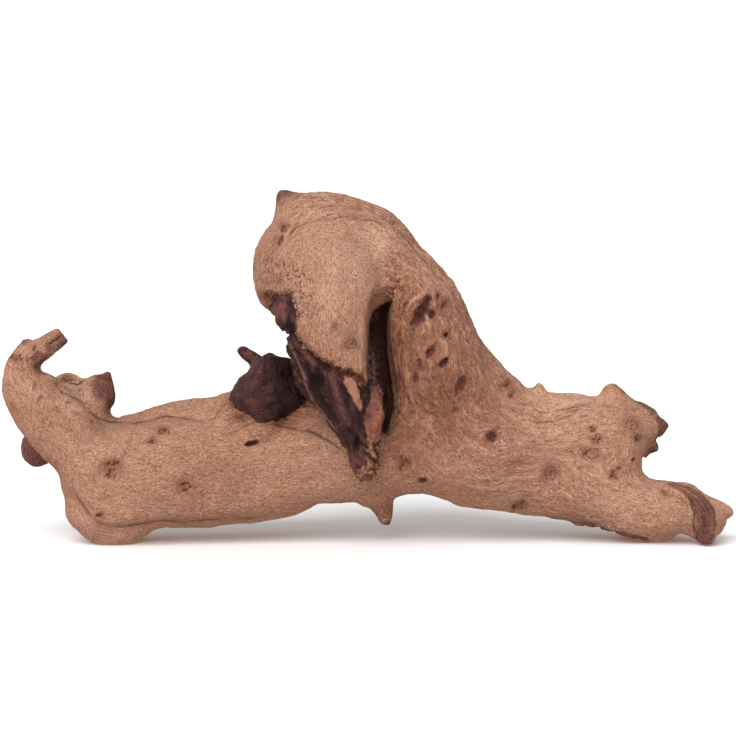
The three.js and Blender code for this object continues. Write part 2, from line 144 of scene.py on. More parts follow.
def line_distance(points, line):
    """(distance, side, share of the way along) from 2-D points to a line of straight stretches.
    side is above zero on the left of the line's direction."""
    line = np.array(line, float)
    near = np.full(len(points), np.inf)
    side = np.zeros(len(points))
    along = np.zeros(len(points))
    lengths = np.linalg.norm(np.diff(line, axis=0), axis=1)
    done = np.concatenate(((0,), np.cumsum(lengths)))
    for start, end, length, before in zip(line[:-1], line[1:], lengths, done):
        way = (end - start) / length
        rel = points - start
        run = np.clip(rel @ way, 0, length)
        off = rel - run[:, None] * way
        away = np.hypot(off[:, 0], off[:, 1])
        closer = away < near
        near = np.where(closer, away, near)
        side = np.where(closer, way[0] * rel[:, 1] - way[1] * rel[:, 0], side)
        along = np.where(closer, (before + run) / done[-1], along)
    return near, np.sign(side), along


def oval(points, middle_x, middle_y, half_width, half_height):
    """Distance from the middle of an upright oval, as a share of its half sizes."""
    return np.hypot((points[:, 0] - middle_x) / half_width, (points[:, 1] - middle_y) / half_height)


def patch_distance(points, outline):
    """Signed distance in the plane to a closed outline, above zero inside it."""
    closed = list(outline) + [outline[0]]
    near, _, _ = line_distance(points, closed)
    inside = np.zeros(len(points), bool)
    for (ax, ay), (bx, by) in zip(closed[:-1], closed[1:]):
        if ay == by:
            continue
        crosses = (points[:, 1] > min(ay, by)) & (points[:, 1] <= max(ay, by))
        inside ^= crosses & (points[:, 0] < ax + (points[:, 1] - ay) * (bx - ax) / (by - ay))
    return np.where(inside, near, -near)


# ---- What the skin shows, in millimetres of the front view unless said otherwise

# Lips: the wood on one side of the line (1 left of its direction, -1 right) lies behind the other.
# (line, side that is set back, step, how far the step fades, depth of the crack under the lip)
LIPS = [
    (
        [(-155, 78), (-150, 75.5), (-147, 71), (-143, 69.5), (-138, 67), (-134, 62), (-130, 59),
         (-124, 57), (-112, 56.5), (-105, 57.5), (-97, 60), (-90, 59), (-83, 58), (-77, 57.5),
         (-74, 59), (-71, 64), (-66, 67)],
        1, 0.8, 6, 0.45,
    ),
    (
        [(-143, 30), (-141, 24), (-138, 19), (-134, 13), (-130, 9), (-124, 7), (-118, 7), (-110, 8),
         (-98, 10), (-87, 9), (-80, 10), (-70, 10.7), (-55, 10.7), (-44, 13)],
        -1, 0.3, 5, 0.3,
    ),
    ([(-72, 50), (-64, 52), (-55, 57), (-48, 56), (-40, 54.7), (-27, 52.3), (-18, 47.5), (-11, 42.5)],
     1, 0.4, 5, 0.35),
    ([(-41, 144), (-35, 150), (-25, 154), (-11, 155.5), (3, 153.6), (16, 147.4), (27, 135), (37, 123)],
     1, 0.8, 5, 0.25),
    ([(-30, 161), (-12, 161), (2, 158), (16, 151), (27, 141)], 1, 0.4, 4, 0.15),
    ([(78, 67.5), (80, 63), (83, 61.3), (90.6, 62), (100, 64.5), (108, 65.8), (118, 63.7)],
     1, 0.3, 3, 0.3),
    ([(78, 57), (82, 56.5), (90.6, 57.3), (95.4, 59.7), (102, 63)], 1, 0.25, 3, 0.2),
    ([(146, 27), (151, 24.6), (154.7, 20.5), (156.8, 13.3), (156.3, 6.9), (158.2, 1)],
     1, 0.8, 2.5, 0.9),
    ([(-150, 80.5), (-146, 77.3), (-142.8, 75.4), (-139.5, 75), (-135.3, 77)], 1, 0.9, 4, 0.3),
    ([(-153, 94), (-150, 96), (-146.5, 98.6)], 1, 0.3, 2, 0.7),
]

# Thin drying cracks and grooves that run with the grain: (line, depth)
CRACKS = [
    ([(-152, 76), (-150, 66), (-144, 57), (-140, 48)], 0.15),
    ([(-131, 56), (-126, 50), (-112, 47), (-98, 48)], 0.15),
    ([(48, 104), (53, 90), (60, 78), (72, 67), (84, 62)], 0.35),
    ([(42, 92), (47, 74), (56, 62), (66, 57)], 0.3),
    ([(44, 60), (50, 50), (58, 44), (72, 41)], 0.2),
    ([(14, 70), (17, 56), (24, 47), (36, 41), (52, 38)], 0.2),
    ([(20, 66), (25, 55), (34, 48), (48, 44)], 0.2),
    ([(92, 26), (110, 22), (126, 16), (144, 13)], 0.12),
    ([(-45.5, 141), (-46.5, 133), (-46.2, 124)], 0.45),
    ([(-39, 155), (-41, 149), (-42.4, 143), (-42, 138)], 0.9),
    ([(-10, 164), (4, 160.5), (18, 152.5), (30, 140), (40, 126)], 0.35),
    ([(-20, 158.5), (-5, 158), (8, 154), (20, 146.5), (30, 135.5)], 0.4),
    ([(10, 150), (20, 143), (28, 134), (36, 121)], 0.3),
    ([(-32, 164), (-22, 165.5), (-12, 165)], 0.5),
    ([(-35, 139), (-36.6, 131), (-35, 125)], 0.35),
    ([(-5, 123), (-4.4, 117), (-5.6, 112)], 0.35),
    ([(41, 104), (45, 99), (50, 93)], 0.5),
    ([(13, 128), (18, 118), (19, 104)], 0.5),
    ([(22, 126), (24, 118), (23, 106), (21, 92)], 0.4),
    ([(16, 108), (15, 96), (16, 84), (15, 70)], 0.4),
    ([(40, 122), (47, 108), (52, 94)], 0.4),
    ([(56, 90), (62, 80), (74, 70)], 0.3),
    ([(50, 68), (58, 60), (70, 53), (84, 50)], 0.15),
    ([(-70, 61), (-62, 59), (-54, 61)], 0.3),
    ([(-66, 58), (-60, 55), (-52, 56.5)], 0.2),
    ([(-168, 43.5), (-166, 47.4), (-163.4, 49.6)], 0.9),
]

# Knots: (across, up, half width, half height, lean in degrees, depth, kind)
PIT, EYE, CLUSTER = 0, 1, 2
KNOTS = [
    (-123, 35, 4.8, 4.2, 0, 0.3, CLUSTER), (-88, 26, 4.6, 4, 0, 0.35, CLUSTER),
    (-128.5, 12, 2.6, 2.2, 0, 0.4, CLUSTER), (-98.6, 53.3, 3, 1.8, 0, 0.2, CLUSTER),
    (-103.4, 47.9, 2.4, 1.8, 0, 0.2, CLUSTER), (-56, 46.7, 3.4, 1.1, 12, 1.6, PIT),
    (-160.2, 92.7, 1, 1.9, -20, 0.5, PIT), (-169, 87.6, 2.2, 1.8, 0, 0.3, CLUSTER),
    (-163.3, 87.2, 1.1, 1.1, 0, 0.3, PIT), (-165.3, 81.7, 1.3, 1, 0, 0.25, PIT),
    (-160, 73.9, 1.1, 2.8, -12, 0.3, PIT), (-157.4, 68.4, 0.9, 2, -30, 0.25, PIT),
    (-143, 66.3, 2, 1, 10, 0.2, PIT), (-139.6, 60.8, 1.5, 0.8, 30, 0.2, PIT),
    (-132, 57.4, 1.2, 1, 0, 0.3, PIT), (-152.6, 55.3, 2, 1.1, -30, 0.1, PIT),
    (-143, 53.3, 1.6, 1, 0, 0.15, PIT), (-169.8, 63.5, 1.4, 3.4, 30, 0.2, PIT),
    (25.6, 109.8, 3, 8.6, -28, 1.7, PIT), (30.4, 109, 1.7, 2.3, -10, 1.7, PIT),
    (34, 117.8, 0.9, 1.2, 0, 1.2, PIT), (36, 113, 2.6, 3.4, -20, 0.3, CLUSTER),
    (37.4, 98.8, 1, 1.1, 0, 1.4, PIT), (30, 90.6, 1.8, 3.6, -42, 1.2, PIT),
    (36.4, 85.6, 1.5, 3.1, -36, 1.5, PIT), (32.6, 80, 2.8, 4, -24, 0.35, PIT),
    (24.2, 84.6, 1.7, 2.2, -30, 0.4, CLUSTER), (22.3, 77.8, 1.3, 2.5, -10, 1, PIT),
    (29.6, 71.6, 2, 3, -10, 0.25, PIT), (44.4, 74.5, 2.2, 5, -22, 0.8, PIT),
    (42, 62.5, 1.8, 2, 0, 0.45, PIT), (21, 62, 2, 3, 0, 0.1, PIT), (33, 55, 2.4, 3.4, -20, 0.1, PIT),
    (66.6, 75, 2.6, 2.4, 0, 0.3, CLUSTER), (69, 70, 2, 1.6, 0, 0.2, CLUSTER),
    (59.2, 49.8, 2.4, 2.8, 0, 0.9, PIT), (17.5, 37, 3, 3.2, 0, 0.4, CLUSTER),
    (26.2, 28.8, 2, 1.5, 10, 1.6, PIT), (87.7, 32.5, 4, 4, 0, 0.45, EYE),
    (107.8, 41.8, 4, 3.4, 0, 0.4, EYE), (103.8, 42, 2, 1.8, 0, 0.3, CLUSTER),
    (118.2, 32, 3.2, 2.8, 0, 0.3, CLUSTER), (117.6, 31, 0.8, 0.9, 0, 1.3, PIT),
    (129, 49.3, 2.2, 1.8, 0, 0.2, CLUSTER), (126.6, 55.7, 3.8, 3, 0, 0.15, EYE),
    (108, 54, 2.4, 1.6, 0, 0.12, CLUSTER), (109, 48.5, 2.4, 1.6, 0, 0.12, CLUSTER),
    (127.4, 38.9, 1, 1, 0, 0.9, PIT), (73, 17.3, 3.4, 1.8, 0, 0.3, CLUSTER),
    (142.6, 23, 2.2, 1.6, 0, 0.1, PIT), (130.6, 13.4, 2.2, 1.8, 0, 0.1, PIT),
    (138.6, 11.7, 1.8, 2.2, 0, 0.1, PIT), (-48.5, 117.5, 3.4, 2.2, 20, 1, CLUSTER),
    (-16, 102.5, 2, 2.8, -20, 0.35, PIT), (-8, 94.5, 3.6, 3.2, 0, 0.3, EYE),
    (-12.5, 93, 1.4, 1.8, 0, 0.2, PIT), (-40.3, 151, 2.2, 2.4, 0, 0.4, CLUSTER),
    (-43, 144.5, 1.8, 2.4, 0, 0.4, CLUSTER),
]

# The same for the back, in the row frame: (x, z, half width, half height, lean, depth, kind)
BACK_KNOTS = [
    (-101, 34, 5, 4.4, 10, 0.8, EYE), (-53, 40, 4.2, 4.6, 0, 0.7, CLUSTER),
    (-9, 122, 5, 4.4, 20, 1.2, PIT), (33, 52, 4.4, 5.4, -20, 1, EYE), (91, 40, 5, 4.4, 0, 0.6, CLUSTER),
    (-5, 60, 3, 5, 10, 0.9, PIT), (-30, 140, 2.6, 2, 0, 0.7, PIT), (18, 106, 2, 3, -20, 0.7, PIT),
    (26, 92, 2.4, 3.4, -20, 0.9, PIT), (52, 68, 2, 2.4, -30, 0.6, PIT),
    (70, 30, 2.4, 2, 0, 0.6, CLUSTER), (-70, 50, 2.4, 1.8, 0, 0.6, CLUSTER),
    (-128, 46, 2.2, 2.6, 0, 0.6, PIT), (120, 50, 2.8, 2.6, 0, 0.7, CLUSTER),
]

# Lips and cracks on the back, in the row frame
BACK_LIPS = [
    ([(-140, 36), (-122, 46), (-96, 52), (-70, 54), (-44, 48), (-22, 36), (-8, 30)], 1, 0.7, 6, 0.4),
    ([(-46, 148), (-34, 128), (-28, 104), (-26, 84), (-34, 70)], 1, 0.7, 6, 0.45),
    ([(24, 140), (34, 118), (44, 98), (60, 80), (82, 66), (112, 60)], -1, 0.6, 5, 0.4),
    ([(4, 44), (26, 34), (58, 26), (96, 22), (136, 16)], -1, 0.6, 5, 0.35),
    ([(-6, 138), (6, 120), (10, 98), (8, 80)], 1, 0.35, 4, 0.25),
]

# Dark heartwood with a torn edge, as outlines on the front
BEAK_HEART = [
    (-46, 101), (-37, 104), (-35, 100), (-32.6, 95.5), (-28, 91.3), (-23, 87.2), (-18.2, 85.4),
    (-15.2, 83.4), (-13, 81.8), (-9.4, 81.6), (-6.2, 80.4), (-3.6, 79), (-1.6, 75.4), (3, 77), (8, 70),
    (8, 44), (3, 26), (-16, 28), (-18, 42), (-26, 58), (-35, 72), (-45, 84),
]
KNOB_HEART = [
    (-68, 69), (-64, 63), (-57, 60), (-52, 56.5), (-45, 57), (-38, 60), (-28, 68), (-28, 80), (-36, 92),
    (-48, 96), (-55, 90), (-62, 86), (-70, 80), (-71, 71),
]
UPPER_KNOB_HEART = [
    (-47, 101), (-48, 112), (-44, 118.5), (-38, 118.5), (-35.5, 114), (-34, 108), (-35.5, 101),
    (-40, 98),
]
# Paler wood that shows within the dark of the beak
TAN_SLIVER = [
    (-11.6, 80), (-6, 79.2), (-4.4, 75), (-3, 70.9), (-2, 64.5), (-3.2, 59.6), (-4.6, 62), (-7.4, 66.8),
    (-10.8, 73), (-12.6, 76.4),
]
AMBER_TONGUE = [
    (1, 74.4), (6.3, 75.2), (8, 70.9), (7, 66.6), (8.2, 59.7), (6.8, 55.9), (6.2, 49), (3.4, 46),
    (-0.4, 48.6), (-2.2, 57), (-1.4, 62.4), (0.6, 66.6), (1.4, 71),
]
CRUMBS = [
    (-1, 48), (3, 47.4), (6.5, 45.6), (5, 42), (5.6, 34), (3, 29), (-3, 28.5), (-7, 31.5), (-4, 35),
    (-1.2, 38), (-0.8, 41), (-2, 44),
]
ROTTED_EDGE = [(-15.5, 82.3), (-12, 81.6), (-8, 80.6), (-5, 78.6), (-2.6, 75)]
CUP_INSIDE = [
    (-150, 80.5), (-148, 84), (-136, 83), (-134.8, 77.3), (-139.5, 75), (-142.8, 75.4), (-146, 77.3),
]
CREVICE_MOUTH = [
    (11.6, 115.6), (8, 114), (3, 110.6), (0.9, 106), (0.2, 96), (-0.6, 80), (0, 72), (3, 64), (6, 52),
    (9, 52), (12.2, 64), (11.4, 76), (9, 90), (9, 101), (10, 111),
]


# Upright ovals on the front, each (across, up, half width, half height): the plain face of the head,
# the lump of rot that fills part of the crevice, the brow over it, and where rot shows, with how much
FACE_OF_HEAD = (-15, 116, 27, 38)
LUMP, BROW = (2.4, 83, 3.4, 9), (4.5, 116.5, 6, 5.5)
ROTTED = [((2.4, 83, 3.4, 11), 1), ((3, 107, 2.4, 4), 0.7)]
# Round dark forms: the knob from above (x, y, radius), the upper knob from the side (y, z, radius) and
# the finger from the front (x, z, radius)
KNOB, UPPER_KNOB, FINGER = (-48, -8, 19), (-34, 108, 19), (-60, 91, 7.5)
# The beak lies in front of this y
BEAK_BACK = -32
# A signed distance well outside a patch, and a share far from any knot
OUTSIDE, FAR = -9, 9

# Raised ridges on the beak, below zero grooves: (line, height, half width)
BEAK_RIDGES = [
    ([(-36, 98), (-33, 94), (-28, 88), (-23.5, 82)], 1.6, 2),
    ([(-19.5, 84), (-16.5, 76), (-14, 68), (-11.5, 60), (-8, 52)], 1.5, 2.6),
    ([(-14.4, 57), (-11, 52.5), (-8.2, 48.5)], 0.7, 0.8),
    ([(-13, 80), (-9.8, 73), (-7, 66), (-5, 59), (-4, 52)], 0.9, 0.6),
    ([(-31.5, 88), (-27.5, 80), (-23.5, 71), (-18.5, 62.5), (-13, 55)], -0.9, 1.1),
    ([(-12, 77), (-10.6, 70), (-8.4, 63), (-6.4, 56)], -0.7, 0.9),
    ([(-4, 50), (-6, 46.5), (-5.4, 41)], -1.5, 1.3),
]
BEAK_RIM = [
    (-38.6, 99), (-37.6, 94), (-34.6, 88), (-31.3, 80.5), (-29.2, 73), (-26.4, 67), (-22, 61.2),
    (-17, 55), (-13.2, 50),
]
BEAK_HOLLOW = (-24.5, 76.5, 3, 4.6, -30, 2.8, PIT)

# Small changes to the solid's outline: (across, up, reach, push, where), push above zero outwards, or
# upwards where it says RISE
ALL, BEAK, BEHIND, RISE = 0, 1, 2, 3
TOUCHES = [
    (141, 60.5, 3, -1.4, ALL), (140.6, 48.2, 1.8, -2.2, ALL), (145, 55, 1.6, 0.9, ALL),
    (139.5, 43, 2.2, 0.7, ALL), (76, 74, 3, -1, ALL), (-138, 80.5, 3, -0.9, ALL),
    (-135.8, 79.4, 2.8, -2.4, RISE), (-147, 80, 3.5, 1, ALL), (-156.5, 81.5, 3, -2.4, ALL),
    (-60, 82.5, 3.2, -2, ALL), (-122.5, 61.5, 3.4, -1.8, ALL), (-130, 79, 2.4, 1.8, ALL),
    (-124, 82.6, 1.8, -1.2, ALL), (-119.5, 71, 3, -0.8, ALL), (160, 22.5, 5, -0.9, ALL),
    (152, 3, 4, -0.8, ALL), (-104, 3.5, 6, 1, ALL), (-151, 76.5, 2.6, 1.7, ALL),
    (-148.5, 102, 2.6, 1.1, ALL), (-144.5, 96, 2, 0.8, ALL), (-77, 7, 4, 0.9, ALL),
    (-37, 91, 2.4, 1.4, ALL), (48, 109, 9, -0.9, ALL), (-164, 97, 2.2, 1, ALL), (96, 73, 7, 0.7, ALL),
    (114, 73, 3, 0.8, ALL), (-124, 81.5, 2, 0.7, ALL), (-40, 85, 3.6, 2.6, BEHIND),
    (-37.6, 83, 2.6, 2.4, BEHIND), (-140.5, 22, 2.2, 0.6, ALL), (-136, 15, 2.2, 0.6, ALL),
    (-130, 9.5, 2.4, 0.6, ALL), (-8.5, 37.5, 3.4, 2.2, BEAK), (-6.5, 33, 2.4, 1.2, BEAK),
    (4, 36, 2.4, 0.7, BEAK), (0.5, 14.5, 4.2, -1.7, ALL), (-6, 15.5, 4, -0.5, ALL),
    (6.6, 8.6, 2, 1, ALL),
]

# Paler and darker parts of the sapwood, partly its own colour and partly painted light and shade: tops
# lit from
# above painted paler, sides that turn away painted darker, the cup painted paler where it lies in
# shadow:
# (across, up, reach, change)
TONES_AND_LIGHT = [
    (-10, 128, 26, 0.38), (-66, 29, 16, -0.14), (-124, 10, 14, 0.5), (-45, 140, 14, -0.12),
    (-40, 125, 10, -0.1), (-23, 156, 8, 0.4), (-34, 166, 5, -0.3), (-8, 99, 10, -0.3),
    (8, 147, 10, 0.75), (30, 132, 10, 0.4), (35, 119, 10, 0.35), (50, 104, 8, 0.3), (25, 78, 15, -0.44),
    (20, 48, 14, -0.6), (14, 88, 7, -0.5), (15, 106, 5, -0.4), (14, 68, 8, -0.4), (30, 62, 9, -0.25),
    (40, 60, 12, -0.25), (88, 67, 15, 0.8), (112, 66, 10, 0.6), (130, 22, 16, 0.5), (170, 17, 8, 0.7),
    (104, 3, 12, -0.25), (7, 11, 8, -0.7), (-168, 70, 14, 0.35), (-148, 92, 8, -0.3), (-140, 71, 8, 2),
]
# Where pores and rotted spots crowd: (across, up, reach, amount)
SPOTS = [
    (-38, 118, 10, 1), (-28, 113, 7, 0.6), (-45, 132, 8, 0.7), (-5, 139, 6, 0.35), (-12, 126, 11, -0.3),
    (11, 132, 5, 0.9), (11, 122, 6, 1.1), (16, 112, 6, 0.8), (-10, 81.5, 3.5, 0.9), (-4, 78.5, 3, 0.9),
    (-30, 163, 10, 0.4), (-160, 88, 8, 0.4), (9, 10, 6, 0.8), (-30, 128, 7, 0.5), (22, 60, 14, 0.5),
    (38, 74, 14, 0.55), (24, 90, 10, 0.4), (34, 112, 8, 0.4),
]

# Purple-brown stain without a hard edge, as balls in the row frame: (x, y, z, radius, blur)
STAINS = [
    (-125, 9, 78, 7, 4), (-127.5, 8, 73, 5, 5), (-122.5, 9, 68, 5.5, 4), (-123, 8, 62, 2, 4),
    (-163, 12, 42, 11, 5), (143.5, 2, 57, 5.6, 2), (137, 2, 63, 2, 3), (140.5, 3, 49, 3, 3),
    (137, 4, 43, 2, 3), (2, 54, 101, 7, 6), (-42, -3, 168, 3, 5), (176, -4, 14, 2, 4), (9, -8, 8, 1, 5),
    (-60, -20, 77, 4.5, 4), (-66, -16, 71, 2, 5), (-58, -14, 62, 2, 5), (-26, -40, 94, 2, 5),
    (-164, -16, 99, 1.5, 4), (-145, -13, 96, 2, 5), (-156.5, -20, 89, 2.6, 3.6),
    (-152, -18, 95, 0.8, 3), (-7, -41, 38, 2.5, 3),
]
# Ribbed bands of the same: (line on the front, half width at its start and at its end)
STAINED_BANDS = [
    ([(142, 27.8), (146.6, 26.7), (153, 24.2), (158.6, 19.7), (162.1, 14.1), (162.9, 8.5), (161.8, 2.9),
      (160, -2)], 0.5, 4.6),
    ([(84, 11.6), (96, 10.2), (108, 7.6), (116, 4.2), (124, 3.2), (134, 0.4)], 0.7, 1.1),
    ([(117, 75.6), (124, 71), (132, 65.5), (139, 62)], 0.4, 0.8),
    ([(133, 66), (138, 60), (140.5, 53), (139.5, 45)], 0.2, 0.8),
    ([(-170, 92), (-165, 97.5), (-160, 97.5)], 0.5, 0.5),
]
# Where the wood is broken off flat: (point, outward normal) in the row frame
ANTLER_END = ((-144.1, -12, 97.9), (0.77, 0, 0.64))
ANTLER_REACH = 11


# ---- Grain: a number that is constant along each fibre and grows across them, in millimetres

CREVICE_X, CREVICE_TOP = 7, 116
BEND_X, BEND_Z = 100, 116
LEFT_CORE = [(30, 47), (-10, 41), (-60, 34), (-100, 30), (-122, 30), (-135, 42), (-147, 56), (-158, 70),
             (-164, 80), (-163, 88), (-157, 92), (-140, 102)]
LEFT_LENGTH = 270
FORK_START, FOOT_SLOPE, FOOT_DROP = 84, 0.42, 24


def grain_field(x, z):
    """(across, along) of points in millimetres in the row frame."""
    away, side, share = line_distance(np.stack((x, z), 1), LEFT_CORE)
    left_across = -away * side + 12
    left_along = -LEFT_LENGTH * share
    # Up the trunk, round a wide bend into the right log, and in arches over the top of the crevice
    from_bend = np.maximum(BEND_X - np.maximum(x, CREVICE_X), 0)
    bend = (from_bend**4 + np.maximum(BEND_Z - z, 0) ** 4) ** 0.25
    flank = BEND_X - CREVICE_X - bend + np.maximum(CREVICE_X - x, 0)
    arch = np.hypot(x - CREVICE_X, z - CREVICE_TOP)
    trunk = np.where(z < CREVICE_TOP, flank, arch)
    past = np.maximum(x - FORK_START, 0)
    low = ramp(z, 48, 32)
    trunk += low * np.minimum(FOOT_SLOPE * past, FOOT_DROP) - (1 - low) * 0.1 * past
    trunk_along = 0.8 * (np.maximum(x, CREVICE_X) - z) + 0.3 * np.minimum(x - CREVICE_X, 0)
    is_left = ramp(x, 22, -18) * np.maximum(ramp(z, 82, 62), ramp(x, -54, -64))
    across = left_across * is_left + trunk * (1 - is_left)
    return across, left_along * is_left + trunk_along * (1 - is_left)


def knot_field(place, knots):
    """For each point: distance from the nearest knot's middle as a share of its size, and that knot's
    kind and depth."""
    share = np.full(len(place), float(FAR))
    kind = np.zeros(len(place))
    depth = np.zeros(len(place))
    for across, up, half_width, half_height, lean, deep, what in knots:
        turn = math.radians(lean)
        right, high = place[:, 0] - across, place[:, 1] - up
        u = (right * math.cos(turn) + high * math.sin(turn)) / half_width
        v = (high * math.cos(turn) - right * math.sin(turn)) / half_height
        out = np.hypot(u, v)
        nearer = out < share
        share = np.where(nearer, out, share)
        kind = np.where(nearer, what, kind)
        depth = np.where(nearer, deep, depth)
    return share, kind, depth


def push_grain(across, place, knots, weight):
    """Bends the grain round each knot, as water runs round a stone."""
    for kx, ky, half_width, half_height, *_ in knots:
        size = 1.15 * max(half_width, half_height)
        right, high = place[:, 0] - kx, place[:, 1] - ky
        reach = right**2 + high**2
        middle = across[np.argmin(reach)]
        push = size**2 / (reach + 0.5 * size**2) * (across - middle)
        near = ramp(reach, (6 * size) ** 2, (2 * size) ** 2)
        across = across - np.clip(push, -size, size) * weight * near
    return across


# ---- Mesh


def remesh(thing, voxel):
    """Replaces the object's mesh with an even, closed one of small quads."""
    modifier = thing.modifiers.new("even", "REMESH")
    modifier.mode = "VOXEL"
    modifier.voxel_size = voxel
    keep_modified(thing)


def thin_out(thing, most):
    """Reduces the mesh to the given number of triangles, keeping them where the skin is rough."""
    triangles = sum(len(polygon.vertices) - 2 for polygon in thing.data.polygons)
    modifier = thing.modifiers.new("thin", "DECIMATE")
    modifier.ratio = min(1, most / triangles)
    modifier.use_collapse_triangulate = True
    keep_modified(thing)


def keep_modified(thing):
    """Makes the object's modifiers part of its mesh."""
    bpy.context.view_layer.update()
    shape = thing.evaluated_get(bpy.context.evaluated_depsgraph_get())
    thing.data, old = bpy.data.meshes.new_from_object(shape), thing.data
    thing.modifiers.clear()
    bpy.data.meshes.remove(old)


def get_vectors(mesh, name):
    """The points ("co") or the normals ("normal") of the mesh."""
    vectors = np.empty(3 * len(mesh.vertices))
    mesh.vertices.foreach_get(name, vectors)
    return vectors.reshape(-1, 3)


def set_points(mesh, points):
    mesh.vertices.foreach_set("co", points.ravel())
    mesh.update()


def get_edges(mesh):
    edges = np.empty(2 * len(mesh.edges), np.int64)
    mesh.edges.foreach_get("vertices", edges)
    return edges.reshape(-1, 2)


def neighbour_mean(values, edges, count):
    """Mean of each point's neighbours."""
    total = np.zeros_like(values)
    for column in range(values.shape[1]):
        for a, b in ((0, 1), (1, 0)):
            total[:, column] += np.bincount(edges[:, a], values[edges[:, b], column], len(values))
    return total / count[:, None]


def smooth(points, edges, passes, pull=0.5, push=0.52):
    """Takes facets out without shrinking the piece: each pass pulls points in and pushes them back."""
    count = np.bincount(edges.ravel(), minlength=len(points)).astype(float)
    for _ in range(passes):
        points = points + pull * (neighbour_mean(points, edges, count) - points)
        points = points - push * (neighbour_mean(points, edges, count) - points)
    return points


def set_attribute(mesh, name, *numbers):
    """Keeps one number of each point, or three, under a name."""
    kind, key = ("FLOAT", "value") if len(numbers) == 1 else ("FLOAT_VECTOR", "vector")
    attribute = mesh.attributes.new(name, kind, "POINT")
    attribute.data.foreach_set(key, np.stack(numbers, 1).astype(np.float32).ravel())


